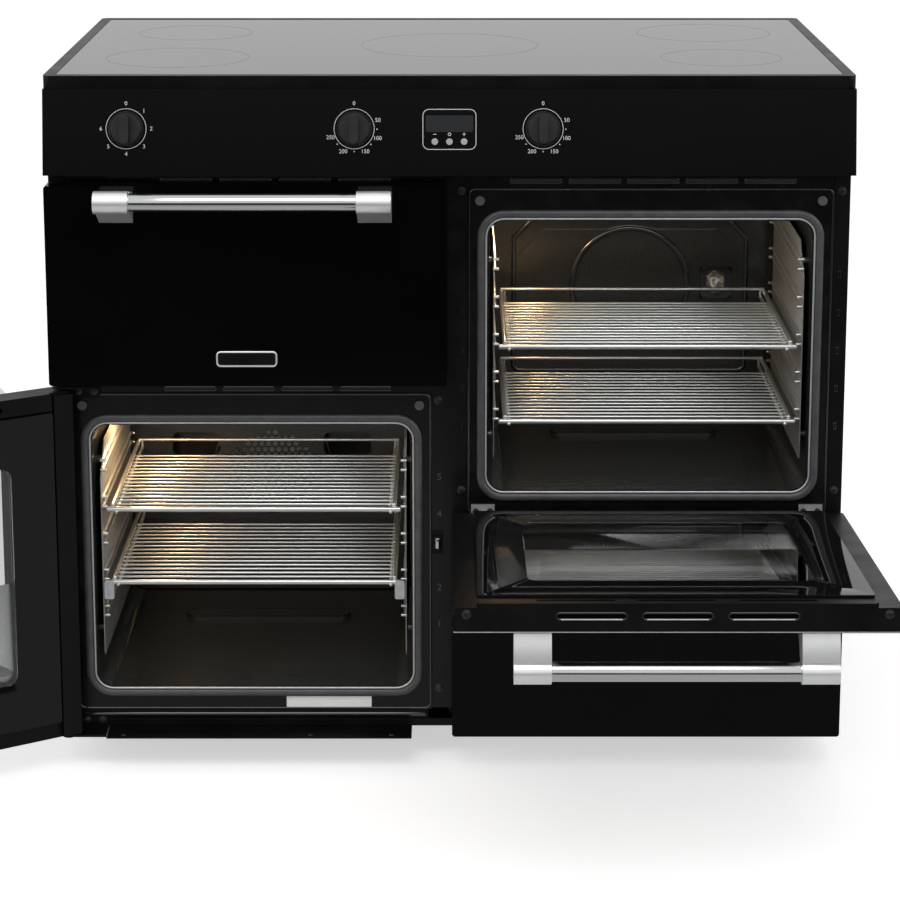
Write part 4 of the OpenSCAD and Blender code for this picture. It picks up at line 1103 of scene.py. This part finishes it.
@dataclass
class Fasteners:
    """Cross-head screws of the chassis, hinges, trims and back."""

    head_d: float = 7.6
    head_h: float = 2.0

    def screw(self) -> Bench:
        """Models one pan head that points to the front, with its cross recess and washer.

        Returns:
            The screw with its seat at Y = 0.
        """
        head = Bench.rod("screw", (0, -self.head_h, 0), (0, 0, 0), self.head_d, 24).soften(0.9, 3, 60)
        for wide, high in ((4.4, 0.9), (0.9, 4.4)):
            low = (-wide / 2, -self.head_h - 1, -high / 2)
            head.cut(Bench.block("recess", low, (wide / 2, 1.1 - self.head_h, high / 2)))
        washer = Bench.disc("washer", self.head_d / 2 + 1.5, (0, 0, 0), 24).hoop(1.9, 0.5, (0.3, 0.2))
        return head.join([washer]).closed(40).finishes(SCREW_STEEL)

    def set_in(self, name: str, body: str, places: Iterable[Matrix]) -> None:
        """Sets copies of the screw and joins them as one piece.

        Args:
            name: the piece's name.
            body: the CAD body that they ride on.
            places: their places, from a screw that points to the front at the origin.
        """
        master = self.screw()
        copies = [master.copy(f"{name}_{i}").place(at) for i, at in enumerate(places)]
        master.discard()
        copies[0].join(copies[1:]).fit(body, "satin_steel").name = name

    def build(self) -> None:
        """Sets the screws of each part."""
        up, back = turned(-90, "X"), turned(180, "Z")
        # Front frame, lower trim and grill hinge, side hinges' leaves, drop hinges, back panel.
        chassis = [(14.8, 752), (15, 363.7), (489.6, 752), (490, 363.7), (-14.3, 482), (-13.3, 97)]
        fixed = [shifted(x, BODY.face, z) for x, z in chassis]
        fixed += [shifted(x, -288, 44) @ up for x in (-420, -179.4, -74.8)]
        fixed += [shifted(-451, y, 507.5) @ up for y in (-278, -266)]
        fixed += [shifted(-470 + 20 * i, BODY.face - 2, z) for i in (0, 1) for z in (53.6, 495)]
        for side in (-209, 209):
            fixed += [shifted(BODY.column + side + x, -260, 337) for x in (-9, 9)]
        fixed += [shifted(x, BODY.back, z) @ back for x in (-488, 488) for z in (70, 270, 470, 670, 862)]
        fixed += [shifted(x, BODY.back, z) @ back for x in (-300, 0, 300) for z in (58, 872)]
        self.set_in("chassis_screws", BODY.root, fixed)
        ends = [shifted(x, 21.5, BODY.oven_h + 1.1) @ up for x in (-233, 233)]
        for side, at in BODY.oven_doors().items():
            self.set_in(f"{side}_door_screws", f"{side}_oven_door", [at @ end for end in ends])


@dataclass
class Trims:
    """Thin pressings: plate rims, vent slots, sill bead, door top strips, badge plate and blank label."""

    slot_w: float = 66.0
    slot_h: float = 6.0
    upper_row: float = 764.5
    lower_row: float = 497.4
    strip_slots: Point = (-95.0, 0.0, 95.0)
    strip_slot_y: float = 19.5

    def rims(self) -> None:
        """Models the rolled rim of each oven's front plate."""
        middle = (-BODY.column, BODY.face, BODY.left_floor + 180)
        rim = Bench.sheet("rim", 457, 423, 9, middle, 6).hoop(2.6, 0.7, (0.7, 0.6))
        fit_both(rim.closed(50).finishes(EDGE_ENAMEL), "plate_rim", "gloss_black")

    def slot(self, x: float, z: float) -> Bench:
        """Models one vent slot: a raised lip round a closed floor of dull black nylon, painted shade for the dark
        inside of an open slot.

        Args:
            x: its middle across.
            z: its middle height.

        Returns:
            The slot on the chassis rail.
        """
        slot = Bench.sheet("slot", self.slot_w, self.slot_h, 2.9, (x, BODY.rail, z), 5)
        slot.finishes(EDGE_ENAMEL, NYLON)
        # The slot's floor in dull black nylon is painted shade, standing in for the dark inside of an open slot.
        slot.all().extrude(0, -0.9, 0).inset(0.8, 0.2).inset(0.3, -0.9).paint(1)
        return slot.closed(40)

    def vents(self) -> None:
        """Sets the rows of vent slots under the controls and under the grill."""
        rows = [self.slot(-328, self.upper_row).array(4, (74, 0, 0)),
                self.slot(108, self.upper_row).array(5, (73, 0, 0)),
                self.slot(-328, self.lower_row).array(4, (74, 0, 0))]
        rows[0].join(rows[1:]).fit(BODY.root, "gloss_black").name = "vent_slots"

    def sill(self) -> None:
        """Models the rolled bead under the left oven's mouth, and a thin zinc rod between the drop hinges, a
        painted highlight.
        """
        bead = Bench.rod("sill_bead", (-472, -258.6, 62), (-30, -258.6, 62), 6.4, 24).soften(2.4, 4, 60)
        bead.closed(50).finishes(EDGE_ENAMEL).fit(BODY.root, "gloss_black")
        # A thin zinc rod between the drop hinges: a painted highlight where the front plate's lower edge catches
        # light.
        y, z = BODY.face - 0.6, 330.6
        line = Bench.rod("hinge_painted_highlight", (62, y, z), (441, y, z), 1.8, 12)
        line.closed(50).finishes(ZINC_PLATE).fit(BODY.root, "satin_steel")

    def top_strip(self) -> Bench:
        """Models the strip on an oven door's top edge: three slots with raised lips, and zinc rods that are
        painted highlights.

        Returns:
            The strip in the door's own millimetres.
        """
        top = BODY.oven_h
        strip = Bench.block("strip", (-246, 2, top + 0.05), (246, 29, top + 1.2))
        strip.join([Bench.block("fold", (-219, 28.9, top - 3), (219, 33.8, top + 1.2))])
        strip.finishes(CASING_COAT)
        for x in self.strip_slots:
            hole = Bench.sheet("hole", 76, 6, 2.9, (0, 0, 0), 5)
            hole.all().extrude(0, 4, 0)
            strip.cut(hole.closed().place(shifted(x, self.strip_slot_y, top + 3) @ turned(-90, "X")))
        lips = Bench.sheet("lip", 79, 9, 4.4, (self.strip_slots[0], 0, 0)).hoop(1.6, 0.3, (0.4, 0.3))
        lips.closed(50).array(3, (self.strip_slots[2], 0, 0)).finishes(EDGE_ENAMEL)
        lips.place(shifted(0, self.strip_slot_y, top + 1.2) @ turned(-90, "X"))
        # Zinc rods along each slot's near lip and along the front edge are painted highlights: bright lines where
        # the pressing catches light.
        painted_highlights = [Bench.rod("lip_painted_highlight", (x - 34, 15.9, top + 1.5), (x + 34, 15.9, top + 1.5), 1.7, 10)
                  for x in self.strip_slots]
        painted_highlights.append(Bench.rod("edge_painted_highlight", (-247, 1.4, top + 0.5), (247, 1.4, top + 0.5), 1.3, 10))
        for light in painted_highlights:
            light.finishes(ZINC_PLATE)
        return strip.join([lips, *painted_highlights]).closed(40)

    def strips(self) -> None:
        """Fits a top strip to each oven door."""
        strip = self.top_strip()
        for side, at in BODY.oven_doors().items():
            strip.copy(f"{side}_door_top_strip").place(at).fit(f"{side}_oven_door", "casing_black")
        strip.discard()

    def badge(self) -> None:
        """Models the bare badge plate: a light frame round a dark field."""
        badge = Bench.sheet("badge_plate", 76, 20, 5.5, (-252.5, BODY.front, 547), 6)
        badge.finishes(BRACKET_CHROME, CASING_COAT)
        badge.all().extrude(0, -1.2, 0).inset(0.5, 0.4).inset(1.3).inset(0.4, -0.7).paint(1)
        badge.closed(40).fit("grill_door", "handle_steel")

    def label(self) -> None:
        """Lays the blank label on the left oven's front plate."""
        label = Bench.sheet("blank_label", 110, 17, 1, (-156, BODY.face - 0.05, 77.5), 3)
        label.all().extrude(0, -0.15, 0)
        label.closed().finishes(PAPER_LABEL).fit(BODY.root, "gloss_plastic")

    def build(self) -> None:
        """Models all the pressings."""
        self.rims()
        self.vents()
        self.sill()
        self.strips()
        self.badge()
        self.label()


@dataclass
class Prints:
    """Fired prints: dial scales, timer outline, hob zones and pressed shelf numbers."""

    ring_r: float = 25.0
    scale_r: float = 31.0
    digit: float = 5.0
    thick: float = 0.06
    timer_up: float = 57.0
    signs_up: float = 51.0
    signs_x: float = 18.0
    zone_z: float = 899.5
    level_up: float = 84.5
    level_pitch: float = 49.2

    def scale(self, x: float, marks: dict[float, str]) -> list[Bench]:
        """Prints a dial's ring and its marks.

        Args:
            x: the dial's place across the panel.
            marks: what stands at each angle, clockwise from the top.

        Returns:
            The pieces of the scale.
        """
        ring = Bench.disc("ring", self.ring_r, (0, 0, 0), 72).hoop(0.7, self.thick)
        made = [ring.closed().place(BODY.panel(x, BODY.dial_up))]
        for angle, body in marks.items():
            a = math.radians(angle)
            if body == ".":
                r = self.ring_r + 3
                mark = Bench.disc("dot", 0.8, (0, 0, 0), 16).all().extrude(0, -self.thick, 0)
            else:
                r = self.scale_r
                mark = Bench.numeral("digits", body, self.digit, 0.05)
            made.append(mark.place(BODY.panel(x + r * math.sin(a), BODY.dial_up + r * math.cos(a))))
        return made

    def panel(self) -> None:
        """Prints the control panel."""
        steps = {0: "0", **{45 * i: str(i) for i in range(1, 7)}}
        heat = {0: "0", 70: "50", 112: "100", 154: "150", 206: "200", 250: "250",
                91: ".", 133: ".", 180: ".", 228: "."}
        prints = [*self.scale(-397, steps), *self.scale(-117, heat), *self.scale(115, heat)]
        outline = Bench.sheet("timer_outline", 66, 50, 8, (0, 0, 0), 8).hoop(0.8, self.thick)
        prints.append(outline.closed().place(BODY.panel(0, self.timer_up)))
        minus = Bench.sheet("minus", 4, 0.8, 0.3, (0, 0, 0), 2)
        minus.all().extrude(0, -self.thick, 0)
        cross = [minus.copy("bar"), minus.copy("bar").place(turned(90, "Y"))]
        prints.append(minus.closed().place(BODY.panel(-self.signs_x, self.signs_up)))
        prints += [bar.closed().place(BODY.panel(self.signs_x, self.signs_up)) for bar in cross]
        mode = Bench.disc("mode", 2, (0, 0, 0), 24).hoop(0.7, self.thick)
        prints.append(mode.closed().place(BODY.panel(0, self.signs_up)))
        prints[0].join(prints[1:]).finishes(WHITE_PRINT).fit(BODY.root, "gloss_plastic").name = "panel_print"

    def hob(self) -> None:
        """Prints the cooking zones on the glass."""
        spots = [(-350, -112.4, 92), (-350, 138, 78), (0, 10.3, 118), (350, 138, 92), (350, -112.4, 78)]
        flat = turned(-90, "X")
        rings = [Bench.disc("zone", r, (0, 0, 0), 96).hoop(1.3, 0.08).closed()
                 .place(shifted(x, y, self.zone_z) @ flat) for x, y, r in spots]
        rings[0].join(rings[1:]).finishes(GREY_PRINT).fit(BODY.root, "gloss_plastic").name = "hob_zones"

    def shelf_numbers(self) -> None:
        """Presses the shelf numbers into the strips beside the ovens."""
        made = []
        for near, far, floor in ((16, 489, BODY.right_floor), (-13, -482, BODY.left_floor)):
            for i in range(5):
                z = floor + self.level_up + self.level_pitch * i
                made.append(Bench.numeral("level", str(i + 1), 9, 0.35).place(shifted(near, BODY.face, z)))
                notch = Bench.sheet("notch", 4, 9, 1.5, (far, BODY.face, z), 4)
                made.append(notch.hoop(0.9, 0.4, (0.2, 0.2)).closed())
        made[0].join(made[1:]).finishes(EDGE_ENAMEL).fit(BODY.root, "gloss_black").name = "shelf_numbers"

    def build(self) -> None:
        """Prints the panel and the hob, and presses the numbers."""
        self.panel()
        self.hob()
        self.shelf_numbers()


# ---- studio --------------------------------------------------------------------------------


@dataclass
class Studio:
    """Camera, soft lamps, pale floor and a white surround."""

    eye: Point = (0.67, -3500.6, 1367.8)
    pitch: float = 11.488
    lens: float = 105.94
    shift: float = -0.25
    floor_lift: float = 0.55
    floor_mirrored: tuple[float, float] = (0.05, 0.45)
    world_light: float = 0.72
    world_dark: float = 0.03

    def camera(self) -> None:
        """Sets the camera at the photograph's viewing angle."""
        hold()
        bpy.ops.object.camera_add(location=Vector(self.eye) * MM, rotation=(math.radians(90 - self.pitch), 0, 0))
        camera = bpy.context.object
        camera.name = "photograph_view"
        camera.data.lens, camera.data.sensor_width, camera.data.shift_y = self.lens, 36, self.shift
        bpy.context.scene.camera = camera

    def lamp(
        self, name: str, at: Point, aim: Point, size: tuple[float, float], watts: float, colour: str = "#ffffff"
    ) -> None:
        """Hangs one soft lamp.

        Args:
            name: the lamp's name.
            at: its place, in metres.
            aim: the point that it faces, in metres.
            size: its width and height, in metres.
            watts: its power.
            colour: its colour.
        """
        hold()
        turn = (Vector(aim) - Vector(at)).to_track_quat("-Z", "Y").to_euler()
        bpy.ops.object.light_add(type="AREA", location=at, rotation=turn)
        light = bpy.context.object
        light.name = name
        light.data.shape, light.data.size, light.data.size_y = "RECTANGLE", *size
        light.data.energy, light.data.color = watts, linear(colour)[:3]

    def glow(self, name: str, at: Point, watts: float) -> None:
        """Lights a warm oven lamp at a place in millimetres."""
        hold()
        bpy.ops.object.light_add(type="POINT", location=Vector(at) * MM)
        light = bpy.context.object
        light.name = name
        light.data.energy, light.data.color = watts, linear("#ffcf94")[:3]
        light.data.shadow_soft_size = 18 * MM

    def mirror_ray(self, tree: bpy.types.NodeTree, path: bpy.types.Node) -> bpy.types.NodeSocket:
        """Tells a mirror image from a look through glass, whose rays count as glossy as well.

        Args:
            tree: the nodes that get the step.
            path: their Light Path node.

        Returns:
            A socket of 1 for a mirrored ray and 0 for any other.
        """
        return add_node(tree, "ShaderNodeMath", {"operation": "SUBTRACT", "use_clamp": True,
                                                 0: path.outputs["Is Glossy Ray"],
                                                 1: path.outputs["Is Transmission Ray"]}).outputs[0]

    def floor(self) -> None:
        """Lays the pale floor, which shows white around the object and keeps its shadow."""
        hold()
        bpy.ops.mesh.primitive_plane_add(size=60)
        plane = bpy.context.object
        plane.name = "studio_floor"
        made = bpy.data.materials.new("pale_studio_floor")
        made.use_nodes = True
        tree = made.node_tree
        tree.nodes.clear()
        path = add_node(tree, "ShaderNodeLightPath")
        lift = add_node(tree, "ShaderNodeMath", {"operation": "MULTIPLY", 0: path.outputs["Is Camera Ray"],
                                                 1: self.floor_lift}).outputs[0]
        paint = add_node(tree, "ShaderNodeBsdfDiffuse", Color=linear("#eeeeee")).outputs[0]
        glow = add_node(tree, "ShaderNodeEmission", Strength=lift).outputs[0]
        lifted = add_node(tree, "ShaderNodeAddShader", {0: paint, 1: glow}).outputs[0]
        through = add_node(tree, "ShaderNodeEmission", Strength=1.0).outputs[0]
        shown = add_node(tree, "ShaderNodeMixShader", {0: path.outputs["Is Transmission Ray"], 1: lifted,
                                                       2: through}).outputs[0]
        where = add_node(tree, "ShaderNodeTexCoord").outputs["Object"]
        ahead = add_node(tree, "ShaderNodeSeparateXYZ", Vector=where).outputs[1]
        near, far = self.floor_mirrored
        bright = add_node(tree, "ShaderNodeMapRange", {1: -2.4, 2: -1.7, 3: near, 4: far}, Value=ahead).outputs[0]
        mirrored = add_node(tree, "ShaderNodeEmission", Strength=bright).outputs[0]
        both = add_node(tree, "ShaderNodeMixShader", {0: self.mirror_ray(tree, path), 1: shown, 2: mirrored})
        add_node(tree, "ShaderNodeOutputMaterial", Surface=both.outputs[0])
        plane.data.materials.append(made)

    def surround(self) -> None:
        """Makes the world: white, with the dark side of a studio in front for mirror images."""
        world = bpy.data.worlds.new("white_studio")
        bpy.context.scene.world = world
        world.use_nodes = True
        tree = world.node_tree
        tree.nodes.clear()
        way = add_node(tree, "ShaderNodeTexCoord").outputs["Generated"]
        axes = add_node(tree, "ShaderNodeSeparateXYZ", Vector=way).outputs
        ahead = add_node(tree, "ShaderNodeMapRange", {1: -0.1, 2: -0.45}, Value=axes[1]).outputs[0]
        low = add_node(tree, "ShaderNodeMapRange", {1: 0.06, 2: 0.18, 3: 1.0, 4: 0.0}, Value=axes[2]).outputs[0]
        dark = add_node(tree, "ShaderNodeMath", {"operation": "MULTIPLY", 0: ahead, 1: low}).outputs[0]
        mirrored = add_node(tree, "ShaderNodeMapRange", {3: 1.0, 4: self.world_dark}, Value=dark).outputs[0]
        path = add_node(tree, "ShaderNodeLightPath")
        seen = add_node(tree, "ShaderNodeMath", {"operation": "MAXIMUM", 0: path.outputs["Is Camera Ray"],
                                                 1: path.outputs["Is Transmission Ray"]}).outputs[0]
        plain = add_node(tree, "ShaderNodeMapRange", {3: self.world_light}, Value=seen).outputs[0]
        strength = add_node(tree, "ShaderNodeMix", {"data_type": "FLOAT", 0: self.mirror_ray(tree, path), 2: plain,
                                                    3: mirrored}).outputs[0]
        add_node(tree, "ShaderNodeOutputWorld",
                 Surface=add_node(tree, "ShaderNodeBackground", Strength=strength).outputs[0])

    def build(self) -> None:
        """Sets the camera, the lamps, the floor and the world."""
        self.camera()
        self.floor()
        self.surround()
        self.lamp("top_softbox", (0, -2.0, 2.9), (0, 0, 0.5), (2.6, 1.3), 26)
        for name, x in (("left_softbox", -2.6), ("right_softbox", 2.6)):
            self.lamp(name, (x, -1.6, 1.6), (0, 0, 0.5), (1.0, 1.8), 10)
        self.glow("left_oven_glow", (-418, -110, 430), 1.1)
        self.glow("right_oven_glow", (70, -60, 694), 0.8)
        mouths = (("left_mouth_light", -0.2516, 0.44, 0.3), ("right_mouth_light", 0.2516, 0.704, 0.56))
        for name, x, high, aim in mouths:
            self.lamp(name, (x, -0.25, high), (x, 0.12, aim), (0.34, 0.03), 0.28, "#f0f3ec")
        bpy.context.scene.view_settings.view_transform = "Standard"
        log.info("studio is set")


def main() -> None:
    """Builds the studio and every piece in order."""
    logging.basicConfig(level=logging.INFO, format="%(name)s: %(message)s")
    for part in (Studio(), Dressing(), Handles(), DoorGlass(), Seals(), Racks(), Ladders(), LampGlasses(),
                 OvenCrowns(), CatchRoller(), Trims(), Fasteners(), Prints()):
        part.build()
    hold()


if __name__ == "__main__":
    main()
